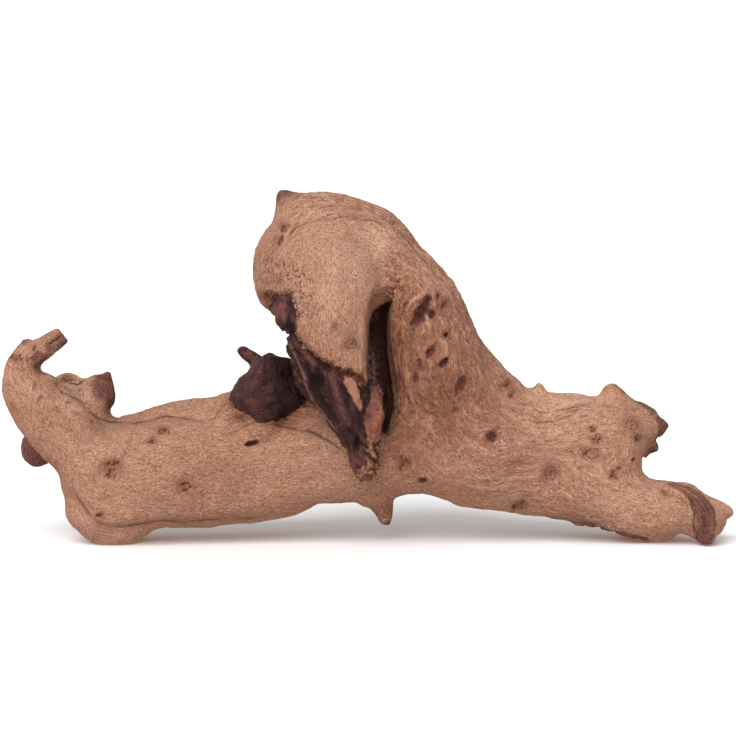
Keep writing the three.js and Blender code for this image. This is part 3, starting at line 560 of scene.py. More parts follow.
class Skin:
    """Everything that the sculpting and the paint know about each point of the mesh, in millimetres."""

    def __init__(self, points, normals):
        self.x, self.y, self.z = (points / MM).T
        self.solid = np.stack((self.x, self.y, self.z), 1)
        self.upright = np.stack((self.x, self.z), 1)
        self.place = front_view(points)
        self.wide, self.high = self.place.T
        to_camera = np.array(camera_place()) - points
        to_camera /= np.linalg.norm(to_camera, axis=1, keepdims=True)
        self.front = ramp(np.einsum("ij,ij->i", normals, to_camera), -0.15, 0.2)
        self.back = ramp(normals[:, 1], -0.1, 0.3)
        self.on_beak = ramp(self.y, BEAK_BACK + 3, BEAK_BACK - 1) * ramp(self.wide, 14, 10)
        self.head = ramp(oval(self.place, *FACE_OF_HEAD), 1.12, 0.85) * ramp(self.y, 4, -12)
        self.flank = ramp(self.high, 40, 60) * ramp(self.wide, 6, 14) * ramp(self.wide, 84, 50)
        self.flank *= self.front
        logs = ramp(self.wide, 20, 60) * ramp(self.wide, 150, 90)
        band = ramp(self.high, 140, 150) * ramp(self.wide, -44, -30)
        self.flow = 0.2 + 0.8 * np.maximum(np.maximum(self.flank, 0.5 * logs), 0.8 * band)
        # The tone: the sapwood's own paler and darker wood with painted light and shade; the flank is
        # painted darker where it turns into the crevice
        self.tone = 0.61 - 0.36 * self.flank + self.balls(TONES_AND_LIGHT)
        self.spotty = 0.35 + self.balls(SPOTS)
        self.find_grain()
        self.ragged = 1.1 * noise(self.solid / 3.1, 11) + 0.7 * noise(self.solid / 1.3, 12)
        self.find_heart()
        self.find_bare_wood()
        self.find_stains()
        self.find_knots()
        self.find_lines()

    def balls(self, places):
        """The sum of soft round patches on the front."""
        total = np.zeros(len(self.x))
        for across, up, reach, amount in places:
            total += amount * bump(np.hypot(self.wide - across, self.high - up), reach)
        return total * self.front

    def find_grain(self):
        """How far each point is across the fibres and along them."""
        across, self.along = grain_field(self.x, self.z)
        down_beak = 0.87 * (self.wide + 38) + 0.49 * (self.high - 100)
        in_dark = ramp(patch_distance(self.place, BEAK_HEART), -1.5, 1.5) * self.on_beak
        across = across * (1 - in_dark) + down_beak * in_dark
        across = push_grain(across, self.place, KNOTS, self.front)
        across = push_grain(across, self.upright, BACK_KNOTS, self.back)
        self.across = across + 1.8 * noise(self.solid / 22, 3) + 0.8 * noise(self.solid / 9, 13)

    def streaks(self, width, length, seed):
        """Noise that is drawn out along the grain."""
        return noise(np.stack((self.across / width, self.y / width, self.along / length), 1), seed)

    def find_heart(self):
        """Signed distances into the dark heartwood of the beak and the knobs, how worn it is with
        painted light and shade on the knobs, and where the sapwood beside it is warmer."""
        wide, high, y, solid = self.wide, self.high, self.y, self.solid
        teeth = 1.5 * self.streaks(1.5, 9, 37) + 0.5 * noise(solid / 2, 42)
        beak = patch_distance(self.place, BEAK_HEART) + self.ragged + teeth
        behind = (high > 64) & (y < -14)
        self.beak_heart = beak = np.where((self.on_beak > 0.5) | behind, beak, OUTSIDE)

        knob_x, knob_y, knob_radius = KNOB
        round_knob = knob_radius - np.hypot(self.x - knob_x, y - knob_y)
        knob = np.minimum(patch_distance(self.place, KNOB_HEART), round_knob)
        knob = np.where(y > -34, knob, OUTSIDE) + self.ragged
        finger_x, finger_z, finger_radius = FINGER
        finger = finger_radius - np.hypot(self.x - finger_x, self.z - finger_z)
        self.knob_heart = knob = np.maximum(knob, np.where(y < 14, finger, OUTSIDE))
        self.smooth_heart = ramp(finger, -2, 2) * (y < 14)

        upper_y, upper_z, upper_radius = UPPER_KNOB
        round_upper = upper_radius - np.hypot(y - upper_y, 1.2 * (high - upper_z))
        round_upper += 2.4 * noise(solid / 5, 43)
        upper = patch_distance(self.place, UPPER_KNOB_HEART) + 0.4 * self.ragged
        upper = np.minimum(upper, round_upper)
        self.upper_heart = upper = np.where(self.x < -30, upper, OUTSIDE)
        self.heart = np.maximum(np.maximum(beak, knob), upper)

        # Heart tone: on the upper knob painted light at its top left and painted shade at its right
        # edge; on the knob a painted shadow of the beak on its right side; paler at the beak's tip,
        # which is wear
        light = np.maximum(ramp(upper, -1, 2), self.smooth_heart)
        lit = bump(np.hypot(wide + 44, high - 113), 6) - 0.8 * bump(wide + 37.3, 1.6) * (high > 98)
        uneven = np.clip(0.35 + 0.7 * lit + 0.5 * noise(solid / 2.6, 33), -0.8, 1)
        shaded = ramp(knob, -0.5, 1.5) * (0.2 - 0.9 * ramp(wide, -53, -42))
        at_tip = self.on_beak * ramp(high, 47, 38) * np.clip(0.6 + 0.7 * noise(solid / 3, 41), 0, 1)
        self.heart_wear_rot_and_light = np.where(light > 0.1, uneven * light, shaded + at_tip)

        near_heart = ramp(knob, -9, -1) * (high < 76) + 0.8 * ramp(beak, -7, 0) * (high > 76)
        crevice_lip = 1.5 * bump(wide - 13.5, 6) * ramp(high, 50, 66) * ramp(high, 134, 122) * (y < 0)
        in_cup = ramp(patch_distance(self.place, CUP_INSIDE), -0.6, 0.4) * (y > -14)
        self.warm = np.maximum(np.maximum(near_heart, crevice_lip), in_cup) * self.front

    def find_bare_wood(self):
        """Signed distances into the paler wood on the beak, and where the crevice and its rot lie."""
        on_beak = self.on_beak > 0.5
        sliver = patch_distance(self.place, TAN_SLIVER) + 0.7 * self.ragged - 0.5
        amber = patch_distance(self.place, AMBER_TONGUE) + 0.4 * self.ragged
        edge, _, _ = line_distance(self.place, ROTTED_EDGE)
        crumbs = np.maximum(patch_distance(self.place, CRUMBS), 1.9 - edge) + 0.9 * self.ragged
        self.sliver, self.amber, self.crumbs = (
            np.where(on_beak, distance, OUTSIDE) for distance in (sliver, amber, crumbs)
        )
        mouth = patch_distance(self.place, CREVICE_MOUTH)
        self.crevice = ramp(mouth, -1.2, 0.6) * (self.y < 6) * (self.y > -42)
        rotted = sum(amount * bump(oval(self.place, *lump), 1) for lump, amount in ROTTED)
        self.heart_wear_rot_and_light += self.crevice * rotted * np.clip(0.3 + noise(self.solid / 1.6, 38), 0, 1)

    def find_stains(self):
        """How strongly the wood is stained, and the ribs of the stained bands."""
        stain = np.zeros(len(self.x))
        for *middle, radius, blur in STAINS:
            away = np.linalg.norm(self.solid - middle, axis=1) + 1.6 * self.ragged
            stain = np.maximum(stain, ramp(away, radius + blur, radius))
        self.band = np.zeros(len(self.x))
        self.rib = np.zeros(len(self.x))
        for line, start_width, end_width in STAINED_BANDS:
            near, side, along = line_distance(self.place, line)
            half_width = start_width + (end_width - start_width) * np.minimum(1, 1.6 * along)
            ends = ramp(along, 0, 0.08) * self.front
            band = ends * ramp(near + 0.3 * self.ragged - half_width, 0.4, -0.4)
            rib = noise(np.stack((near * side / 0.9, 2.2 * along, 0 * near), 1), 28)
            self.rib = np.where(band > self.band, rib, self.rib)
            self.band = np.maximum(self.band, band)
        self.stain = np.maximum(stain, self.band)

    def find_knots(self):
        """Distance from the nearest knot or little hole as a share of its size, and that knot's kind
        and depth."""
        share, kind, depth = knot_field(self.place, KNOTS)
        back_share, back_kind, back_depth = knot_field(self.upright, BACK_KNOTS)
        share = np.where(self.front > 0.5, share, FAR)
        back_share = np.where(self.back > 0.5, back_share, FAR)
        behind = back_share < share
        self.knot_kind = np.where(behind, back_kind, kind)
        self.knot_depth = np.where(behind, back_depth, depth)
        uneven = 0.36 * noise(self.solid / 2.6, 32) + 0.2 * noise(self.solid / 1.3, 30)
        uneven *= np.where(self.knot_kind == EYE, 0.3, 1)
        self.knot = np.where(behind, back_share, share) + uneven
        self.hole = np.full(len(self.x), float(FAR))
        faces = ((KNOTS, self.place, self.front), (BACK_KNOTS, self.upright, self.back))
        for knots, place, seen in faces:
            for middle_x, middle_y, radius, stretch, turn in small_holes(knots):
                u = place[:, 0] - middle_x
                v = place[:, 1] - middle_y
                along = (u * math.cos(turn) + v * math.sin(turn)) / (radius * stretch)
                across = (v * math.cos(turn) - u * math.sin(turn)) / radius
                nearer = np.minimum(self.hole, np.hypot(along, across))
                self.hole = np.where(seen > 0.4, nearer, self.hole)

    def find_lines(self):
        """How deep lips and cracks cut, and the signed distance to the nearest with its strength."""
        self.cut = np.zeros(len(self.x))
        self.line = np.full(len(self.x), 5.0)
        self.line_weight = np.zeros(len(self.x))
        wobble = 0.45 * noise(self.solid / 4, 21) + 0.2 * noise(self.solid / 1.5, 22)
        comes_and_goes = np.clip(0.75 + 0.9 * noise(self.solid / 7, 36), 0.2, 1)
        faces = ((LIPS, self.place, self.front), (BACK_LIPS, self.upright, self.back))
        for lips, place, seen in faces:
            for line, set_back, step, fade, crack in lips:
                near, side, along = line_distance(place, line)
                beyond = near * side * set_back + wobble
                ends = ramp(along, 0, 0.07) * ramp(along, 1, 0.92) * seen
                lip = np.where(beyond > 0, bump(beyond, fade), bump(beyond, 0.7))
                self.cut += ends * (step * lip + crack * bump(beyond - 0.3, 0.5))
                self.keep_line(beyond, ends * comes_and_goes * min(1, 0.5 + crack))
        for line, depth in CRACKS:
            near, side, along = line_distance(self.place, line)
            beyond = near * side + 1.5 * wobble
            strength = taper(along, 0.2) * self.front * comes_and_goes * depth
            self.cut += strength * bump(beyond, 0.7)
            self.keep_line(beyond, strength)

    def keep_line(self, beyond, weight):
        """Notes the line for the points that it is the nearest to."""
        weight = weight * ramp(np.abs(beyond), 3.2, 2.2)
        nearer = (np.abs(beyond) < np.abs(self.line)) & (weight > 0)
        self.line = np.where(nearer, beyond, self.line)
        self.line_weight = np.where(nearer, weight, self.line_weight)


def small_holes(knots):
    """The little gashes in each clustered knot: (across, up, radius, stretch, turn)."""
    dice = np.random.default_rng(12)
    holes = []
    for across, up, half_width, half_height, _, _, kind in knots:
        if kind != CLUSTER:
            continue
        lean = dice.uniform(0.3, 1.3)
        for _ in range(2 + round(2.2 * half_width)):
            x = across + half_width * np.clip(dice.normal(0, 0.55), -1, 1)
            y = up + half_height * np.clip(dice.normal(0, 0.55), -1, 1)
            radius = dice.uniform(0.23, 0.32 + 0.07 * half_width)
            holes.append((x, y, radius, dice.uniform(1.1, 3), lean + dice.normal(0, 0.6)))
    return holes


def beak_height(skin):
    """Relief of the dark wood of the beak."""
    height = np.zeros(len(skin.x))
    for line, tall, half_width in BEAK_RIDGES:
        near, _, along = line_distance(skin.place, line)
        height += tall * bump(near, half_width) * taper(along, 0.15)
    near, _, along = line_distance(skin.place, BEAK_RIM)
    height += 0.8 * bump(near, 0.9) * taper(along, 0.1)
    share, _, deep = knot_field(skin.place, [BEAK_HOLLOW])
    height -= deep * np.exp(-1.2 * share**2)
    return height * skin.on_beak * ramp(skin.beak_heart, -0.5, 1.5)


def shape(mesh, passes):
    """Takes the facets out and makes the few moves that are larger than the texture."""
    points = smooth(get_vectors(mesh, "co"), get_edges(mesh), passes)
    set_points(mesh, points)
    normals = get_vectors(mesh, "normal")
    place = front_view(points)
    y = points[:, 1] / MM
    push = np.zeros(len(points))
    rise = np.zeros(len(points))
    for across, up, reach, size, where in TOUCHES:
        there = {BEAK: y < BEAK_BACK, BEHIND: y >= BEAK_BACK}.get(where, 1)
        amount = there * size * bump(np.hypot(place[:, 0] - across, place[:, 1] - up), reach)
        if where == RISE:
            rise += amount
        else:
            push += amount
    points = points + (normals * push[:, None] + rise[:, None] * np.array((0, 0, 1))) * MM
    points = break_antler(points)
    open_crevice(points, place, y)
    set_points(mesh, points)


def break_antler(points):
    """Cuts the antler off flat at its end."""
    at, out = (np.array(values) for values in ANTLER_END)
    rough = 0.3 * noise(points / MM / 1.8, 25)
    past = np.maximum((points / MM - at) @ out + rough, 0)
    near = np.linalg.norm(points / MM - at, axis=1) < ANTLER_REACH
    return points - (past * near)[:, None] * out * MM


def open_crevice(points, place, y):
    """Sinks the crevice behind the beak, round a lump of rotted wood, and brings the tongue forward."""
    wide, high = place.T
    mouth = patch_distance(place, CREVICE_MOUTH)
    tongue = patch_distance(place, AMBER_TONGUE)
    slot = ramp(mouth, -0.4, 0.8) * (1 - ramp(tongue, -1.5, 0)) * ramp(y, 0, -8) * ramp(y, -41, -37)
    lump = bump(oval(place, *LUMP), 1) * (y < -8) * (y > -30)
    brow = bump(oval(place, *BROW), 1) * ramp(mouth, 0.2, -0.6)
    edge = ramp(mouth, -6, -0.8) * ramp(wide, 4, 1) * ramp(high, 76, 84) * ramp(high, 114, 106)
    ledge = ramp(tongue, -0.3, 0.6) * (y < 0) * np.maximum(y - (BEAK_BACK - 1), 0)
    points[:, 1] -= ledge * MM
    points[:, 1] += (7 * slot - 9 * lump * slot - 2 * brow * (y < -4) - 2.5 * edge * (y < -20)) * MM


def sculpt(mesh, grain_relief):
    """Cuts the creases, knots, torn edges and grain into the mesh, as a height in millimetres."""
    points = smooth(get_vectors(mesh, "co"), get_edges(mesh), 5)
    set_points(mesh, points)
    normals = get_vectors(mesh, "normal")
    skin = Skin(points, normals)
    solid = skin.solid

    # Swells, and the grain of the sapwood
    is_heart = ramp(skin.heart, -0.4, 0.8)
    plain = (1 - is_heart) * (1 - 0.8 * skin.head)
    grain = grain_relief / MM * (1 + 1.7 * skin.flank)
    height = 0.45 * skin.streaks(8, 70, 1) + 0.35 * noise(solid / 9, 14) + 0.2 * noise(solid / 4, 26)
    ridges = 1.2 * skin.streaks(2.4, 18, 17) + skin.streaks(1.3, 9, 2)
    height += plain * grain * skin.flow * ridges
    height += plain * 0.7 * grain * skin.streaks(0.95, 4, 3)
    height += (1 - is_heart) * 0.16 * noise(solid / 1.5, 4) + skin.head * 0.2 * noise(solid / 3, 15)

    # The dark wood of the beak, the knobs and the finger, and the ribs of the stained bands
    ridged = 1 - 2 * np.abs(skin.streaks(2.4, 15, 5))
    on_dark_beak = ramp(skin.beak_heart, -0.4, 0.8)
    splinters = 0.8 * ridged + 0.5 * skin.streaks(1.2, 6, 6) + 0.5 * noise(solid / 2, 31) - 0.2
    height += on_dark_beak * splinters
    on_knob = ramp(skin.knob_heart, -0.5, 2) * (1 - 0.8 * skin.smooth_heart)
    height += on_knob * (0.7 * noise(solid / 6, 18) + 0.35 * noise(solid / 2.4, 19))
    on_upper = ramp(skin.upper_heart, -0.5, 1)
    height += on_upper * (1.1 * noise(solid / 4, 34) + 0.5 * noise(solid / 1.7, 35))
    height += 0.1 * skin.smooth_heart * noise(solid / 2, 27)
    height += skin.band * (0.55 * skin.rib + 0.35)
    height += beak_height(skin)

    # The sapwood sheet is torn off above the dark wood of the beak, and round the upper knob
    torn = ramp(skin.beak_heart, -0.5, 0.8)
    height -= 1.5 * torn * ramp(skin.front, 0.1, 0.6) * (1 - ramp(skin.sliver, -0.5, 0.8))
    lumpy = 0.5 * noise(solid / 2.2, 39) + 0.4 * noise(solid / 1.1, 40)
    height += ramp(skin.amber, -0.4, 0.6) * lumpy
    upper = skin.upper_heart
    height -= 1.5 * (ramp(upper, 1.3, 0.1) * ramp(upper, -1.3, -0.1) * ramp(skin.wide, -44, -38))
    crease = bump(np.abs(skin.wide + 38.6 + 0.25 * (skin.high - 110)), 0.8) * ramp(skin.high, 117, 113)
    height -= 0.9 * crease * ramp(upper, 0, 1)

    # Flakes under the foot, crumbs at the beak's tip and rotted wood inside the crevice
    flakes = ramp(np.abs(skin.wide - 116), 20, 16) * ramp(normals[:, 2], -0.45, -0.8)
    height += 1.3 * flakes * ramp(noise(solid / 3.4, 29), 0.05, 0.3)
    crumbs = ramp(skin.crumbs, -0.8, 0.8)
    height += crumbs * (1.0 * noise(solid / 1.7, 7) + 0.6 * noise(solid / 0.9, 8) + 0.4)
    height += skin.crevice * (0.8 * noise(solid / 3, 23) + 0.5 * noise(solid / 1.4, 24))

    # Lips, cracks and knots
    height -= skin.cut
    dent = 0.75 * np.exp(-1.6 * skin.knot**2)
    pit = np.where(skin.knot_kind == PIT, ramp(skin.knot, 1.1, 0.65), dent)
    rim = bump(skin.knot - 1.4, 0.35)
    eye = (skin.knot_kind == EYE) * 0.7 * bump(skin.knot, 0.4)
    height -= skin.knot_depth * (1.5 * pit - 0.25 * rim - eye)
    height -= 0.8 * np.exp(-(skin.hole**2))

    # Small rotted holes on the head, at the brow and along the top of the crevice
    torn_edge = ramp(skin.beak_heart, -3.5, -0.6) * ramp(skin.wide, -22, -14)
    rot = np.maximum(np.clip(skin.spotty - 0.35, 0, 1), torn_edge)
    height -= 0.9 * rot * skin.front * (1 - is_heart) * ramp(noise(solid / 1.9, 9), 0.12, 0.45)

    height *= ramp(skin.z, 0.4, 3)
    moved = points + normals * height[:, None] * MM
    low, high = (np.array(corner) for corner in CAD_BOX)
    set_points(mesh, np.clip(moved, low, high))


# How many points look up, with how many rays, how far a ray reaches and how far off the skin it starts
HOLLOW_SAMPLES, HOLLOW_RAYS = 16000, 24
HOLLOW_REACH, HOLLOW_LIFT = 0.03, 0.0006


# The material darkens the wood by this share with the crack colour: painted shade in hollows
def hollow_share(mesh):
    """How much of the sky each point can't see within a few centimetres, from 0 to 1. Only a sample of
    the points looks up, and each point takes the mean of the nearest of them."""
    tree = BVHTree.FromPolygons([v.co for v in mesh.vertices], [p.vertices for p in mesh.polygons])
    spiral = np.arange(HOLLOW_RAYS) + 0.5
    tilt = np.arccos(1 - spiral / HOLLOW_RAYS)
    turn = math.pi * (1 + 5**0.5) * spiral
    dome = np.stack((np.cos(turn) * np.sin(tilt), np.sin(turn) * np.sin(tilt), np.cos(tilt)), 1)
    picks = range(0, len(mesh.vertices), max(1, len(mesh.vertices) // HOLLOW_SAMPLES))
    known = KDTree(len(picks))
    shares = []
    for at, index in enumerate(picks):
        vertex = mesh.vertices[index]
        turned = Vector((0, 0, 1)).rotation_difference(vertex.normal).to_matrix()
        start = vertex.co + vertex.normal * HOLLOW_LIFT
        hits = [tree.ray_cast(start, turned @ Vector(way), HOLLOW_REACH)[0] is not None for way in dome]
        shares.append(sum(hits) / HOLLOW_RAYS)
        known.insert(vertex.co, at)
    known.balance()
    shares = np.array(shares)
    result = np.empty(len(mesh.vertices))
    for index, vertex in enumerate(mesh.vertices):
        found = known.find_n(vertex.co, 4)
        weights = np.array([1 / (distance + 1e-5) for _, _, distance in found])
        result[index] = weights @ shares[[at for _, at, _ in found]] / weights.sum()
    return result


def write_attributes(mesh, skin, hollow_shade):
    """What the material reads: numbers of each point, three to an attribute."""
    rim, _, along = line_distance(skin.place, BEAK_RIM)
    rim = ramp(rim, 0.65, 0.05) * taper(along, 0.1) * skin.on_beak
    ridge = 0.5 + 0.5 * np.clip(1.1 * skin.streaks(2.4, 18, 17) + 0.9 * skin.streaks(1.3, 9, 2), -1, 1)
    # On the beak: its relief height, which the material uses to paint shade in the grooves and
    # highlights on the ridges
    ridge = np.where(skin.beak_heart > 0, 0.42 + 0.4 * beak_height(skin), ridge)
    ridge = np.where(skin.band > 0.3, 0.5 + skin.rib, ridge)
    streaky = skin.flow * (1 - 0.8 * skin.head)
    set_attribute(mesh, "grain", skin.across, skin.y, skin.along)
    set_attribute(mesh, "beak", skin.sliver, skin.amber, skin.crumbs)
    set_attribute(mesh, "heart", skin.heart, skin.stain, rim)
    set_attribute(mesh, "line", skin.line, skin.line_weight, skin.hole)
    set_attribute(mesh, "knot", skin.knot, skin.knot_kind, skin.band)
    set_attribute(mesh, "tone", skin.tone, ridge, skin.crevice)
    set_attribute(mesh, "wood", skin.head, streaky, skin.heart_wear_rot_and_light)
    set_attribute(mesh, "hollow_shade", hollow_shade, skin.knot_depth, skin.warm)
    set_attribute(mesh, "spotty", skin.spotty)


# ---- Materials


class Nodes:
    """Short ways to add shader nodes to a material."""

    def __init__(self, name):
        self.material = bpy.data.materials.new(name)
        self.material.use_nodes = True
        self.tree = self.material.node_tree
        self.shader = self.tree.nodes["Principled BSDF"]

    def add(self, kind, inputs=(), **settings):
        node = self.tree.nodes.new(kind)
        for key, value in settings.items():
            setattr(node, key, value)
        for key, value in dict(inputs).items():
            self.plug(node.inputs[key], value)
        return node

    def plug(self, socket, value):
        """Links another node's output, or sets a plain number, vector or colour."""
        if isinstance(value, bpy.types.NodeSocket):
            self.tree.links.new(value, socket)
        elif socket.type == "RGBA":
            socket.default_value = (*value, 1)
        else:
            socket.default_value = value

    def attribute(self, name, output="Fac"):
        return self.add("ShaderNodeAttribute", attribute_name=name).outputs[output]

    def attributes(self, name):
        """The three numbers of a vector attribute."""
        return self.add("ShaderNodeSeparateXYZ", {0: self.attribute(name, "Vector")}).outputs

    def math(self, operation, a, b=0.0):
        return self.add("ShaderNodeMath", {0: a, 1: b}, operation=operation).outputs[0]

    def times(self, first, *others):
        for other in others:
            first = self.math("MULTIPLY", first, other)
        return first

    def largest(self, first, *others):
        for other in others:
            first = self.math("MAXIMUM", first, other)
        return first

    def total(self, *shares):
        """The sum of (value, weight) pairs."""
        result = 0.0
        for value, weight in shares:
            inputs = {0: value, 1: weight, 2: result}
            result = self.add("ShaderNodeMath", inputs, operation="MULTIPLY_ADD").outputs[0]
        return result

    def scaled(self, vector, scale):
        return self.add("ShaderNodeVectorMath", {0: vector, 1: scale}, operation="MULTIPLY").outputs[0]

    def noise(self, vector, scale, detail=2.0, roughness=0.55):
        """Soft noise; scale is one number, or one for each way."""
        scale = scale if isinstance(scale, tuple) else (scale, scale, scale)
        vector = self.scaled(vector, scale)
        inputs = {"Vector": vector, "Scale": 1.0, "Detail": detail, "Roughness": roughness}
        return self.add("ShaderNodeTexNoise", inputs).outputs["Fac"]

    def step(self, value, low, high, to_low=0.0, to_high=1.0):
        """A smooth step of value from low to high; low may be the larger."""
        if low > high:
            low, high, to_low, to_high = high, low, to_high, to_low
        inputs = {"Value": value, "From Min": low, "From Max": high}
        inputs |= {"To Min": to_low, "To Max": to_high}
        return self.add("ShaderNodeMapRange", inputs, interpolation_type="SMOOTHSTEP").outputs["Result"]

    def layers(self, base, *coats):
        """The base with coats painted over it in turn, each a (share, colour) pair."""
        for share, coat in coats:
            inputs = {"Factor": share, 6: base, 7: coat}
            base = self.add("ShaderNodeMix", inputs, data_type="RGBA").outputs[2]
        return base


def wood_material(paint):
    """Dry sandblasted mopani: pale fibrous sapwood, purple-brown heartwood, dark knots and cracks.
    paint holds the colours."""
    n = Nodes("mopani")
    place = n.scaled(n.add("ShaderNodeNewGeometry").outputs["Position"], (1 / MM, 1 / MM, 1 / MM))
    across, _, height = n.add("ShaderNodeSeparateXYZ", {0: place}).outputs
    grain = n.attribute("grain", "Vector")
    sliver, amber, crumbs = n.attributes("beak")
    heart_in, stain_in, rim = n.attributes("heart")
    line, line_weight, hole_in = n.attributes("line")
    knot_in, knot_kind, band = n.attributes("knot")
    hollow_shade, knot_depth, warm = n.attributes("hollow_shade")
    tone, ridge, crevice = n.attributes("tone")
    coarse, streaky, heart_wear_rot_and_light = n.attributes("wood")
    spotty = n.attribute("spotty")

    # Streaks along the grain, from broad bands to single fibres, and grit that runs no way at all
    bands = n.noise(grain, (0.13, 0.13, 0.03), 3)
    streaks = n.noise(grain, (0.55, 0.55, 0.1), 3, 0.6)
    fibres = n.noise(grain, (1.5, 1.5, 0.36), 3, 0.65)
    heart_grain = n.noise(grain, (0.6, 0.6, 0.14), 4, 0.65)
    flecks = n.noise(grain, (1.3, 1.3, 0.42), 2, 0.6)
    shreds = n.noise(grain, (0.9, 0.9, 0.17), 3, 0.7)
    grit = n.noise(place, 1.5, 3, 0.75)
    specks = n.noise(place, 0.85, 2, 0.5)
    pores = n.noise(place, 0.5, 4, 0.7)
    chunks = n.noise(place, 0.3, 5, 0.75)
    patches = n.noise(place, 0.16, 2)
    hues = n.noise(place, 0.085, 3, 0.6)
    blotches = n.noise(place, 0.05, 3)

    # Sapwood: broad changes of hue, then ridges, streaks, fibres and grit, then flecks and pores
    paleness = n.step(tone, 0.0, 0.6, 0.5, 1.0)
    crowd = n.times(n.step(patches, 0.35, 0.6, 0.3, 1.0), n.step(spotty, 0.0, 1.0, 0.2, 1.0))
    threshold = n.total((crowd, -0.1), (1.0, 0.66))
    fleck = n.step(n.math("SUBTRACT", flecks, threshold), -0.02, 0.09, 0, 0.65)
    speck = n.step(n.math("SUBTRACT", specks, threshold), -0.01, 0.08, 0, 0.65)
    pore = n.times(n.step(pores, 0.57, 0.62), n.step(spotty, 0.5, 1.1), 0.9)
    torn = n.times(n.step(shreds, 0.5, 0.64), warm, 0.7)
    # The tone blends the shade colour into the sapwood colour: the wood's own paler and darker parts,
    # and painted light and shade
    sapwood = n.layers(
        paint.shade,
        (n.step(tone, 0.0, 1.0), paint.sapwood),
        (n.step(hues, 0.5, 0.66, 0, 0.45), paint.pink),
        (n.times(n.step(hues, 0.52, 0.36, 0.15, 0.6), coarse), paint.ochre),
        (n.step(blotches, 0.4, 0.68, 0, 0.5), paint.blotch),
        (n.step(patches, 0.5, 0.7, 0, 0.4), paint.blotch),
        (n.step(bands, 0.45, 0.7, 0, 0.35), paint.blotch),
        (n.times(warm, 0.62), paint.warm),
        (n.times(n.step(ridge, 0.5, 0.1, 0, 0.8), streaky), paint.fibre),
        (n.times(n.step(ridge, 0.6, 1.0, 0, 0.6), streaky, paleness), paint.pale),
        (n.times(n.step(streaks, 0.5, 0.68, 0, 0.75), streaky), paint.fibre),
        (n.times(n.step(streaks, 0.48, 0.3, 0, 0.55), streaky, paleness), paint.pale),
        (n.step(fibres, 0.5, 0.68, 0, 0.75), paint.fibre),
        (n.times(n.step(fibres, 0.47, 0.3, 0, 0.6), paleness), paint.pale),
        (n.step(grit, 0.5, 0.68, 0, 0.85), paint.fibre),
        (n.times(n.step(grit, 0.47, 0.28, 0, 0.75), paleness), paint.pale),
        (n.largest(n.times(fleck, n.step(coarse, 0.0, 1.0, 1.0, 0.7)), speck), paint.fleck),
        (n.largest(pore, torn), paint.pore),
        # Extra pale fibres where the tone is highest: partly a painted highlight
        (n.times(n.step(tone, 0.85, 1.6), n.step(fibres, 0.62, 0.4), 0.6), paint.pale),
    )

    # Knots: a stain with a dark middle or rings, and little gashes in the clustered ones
    strength = n.step(knot_depth, -0.5, 1.4)
    knot = n.total((knot_in, 1.0), (specks, 0.9), (grit, 0.6), (0.75, -1.0))
    is_cluster = n.step(knot_kind, 1.4, 1.6)
    not_pit = n.step(knot_kind, 0.4, 0.6)
    is_eye = n.times(not_pit, n.math("SUBTRACT", 1.0, is_cluster))
    is_pit = n.math("SUBTRACT", 1.0, not_pit)
    halo = n.total((n.times(is_pit, strength), 0.5), (is_eye, 0.35), (is_cluster, 0.5))
    deep = n.layers(paint.pore, (n.step(pores, 0.38, 0.58), paint.stain))
    bottom = n.layers(paint.knot, (n.step(knot_depth, 0.2, 0.8), deep))
    middle = n.times(n.step(knot, 0.95, 0.2), strength, n.total((is_pit, 0.25), (is_eye, 0.2)))
    waves = n.step(n.math("SINE", n.times(knot, 11.0)), 0.0, 0.9)
    ring = n.times(waves, n.step(knot, 1.4, 1.0), n.step(pores, 0.38, 0.58, 0.35, 1.0), is_eye, 0.62)
    gash = n.total((hole_in, 1.0), (grit, 1.6), (0.8, -1.0))
    hole = n.times(n.step(gash, 1.25, 0.5), 0.9)

    # Cracks and lips: a thin line of dirt in each, and a wider band of painted shade beside it
    uneven = n.total((n.math("ABSOLUTE", line), 1.0), (grit, 0.5), (0.25, -1.0))
    crease = n.times(n.step(uneven, 0.5, 0.08), line_weight)
    crack_dirt_and_shade = n.largest(n.times(crease, 0.8), n.times(n.step(uneven, 1.4, 0.2), line_weight, 0.3))

    # Purple-brown stain, and the heartwood with its torn edge
    stained = n.layers(
        paint.stain,
        (n.step(fibres, 0.42, 0.6), paint.stain_dark),
        (n.step(grit, 0.5, 0.3, 0, 0.35), paint.blotch),
        (n.times(n.step(ridge, 0.45, 0.1), band), paint.stain_dark),
        (n.times(n.step(ridge, 0.6, 0.95, 0, 0.6), band), paint.blotch),
    )
    rubbed = n.largest(n.step(grit, 0.55, 0.75, 0, 0.5), n.step(patches, 0.52, 0.72, 0, 0.55))
    heart = n.layers(
        paint.heart_dark_and_shaded,
        (n.step(heart_grain, 0.38, 0.6), paint.heart),
        (n.step(fibres, 0.54, 0.66, 0, 0.65), paint.heart_worn_and_lit),
        (n.step(fibres, 0.46, 0.34, 0, 0.75), paint.heart_dark_and_shaded),
        (rubbed, paint.heart_worn_and_lit),
        # Grooves of the beak painted darker and its ridges paler: painted shade and highlight by the
        # relief, with wear
        (n.step(ridge, 0.42, 0.1, 0, 0.9), paint.heart_dark_and_shaded),
        (n.times(n.step(ridge, 0.6, 1.05), n.step(fibres, 0.6, 0.35, 0.15, 0.95)), paint.heart_worn_and_lit),
        # Painted light and shade on the knobs, with wear and rot: paler where lit or worn, darker where
        # shaded
        (n.largest(heart_wear_rot_and_light, 0.0), paint.heart_worn_and_lit),
        (n.times(n.math("MINIMUM", heart_wear_rot_and_light, 0.0), -1.0), paint.heart_dark_and_shaded),
    )
    is_heart = n.step(heart_in, -0.15, 0.5)
    crowded = n.step(spotty, 0.3, 1.1, 0.25, 0.9)
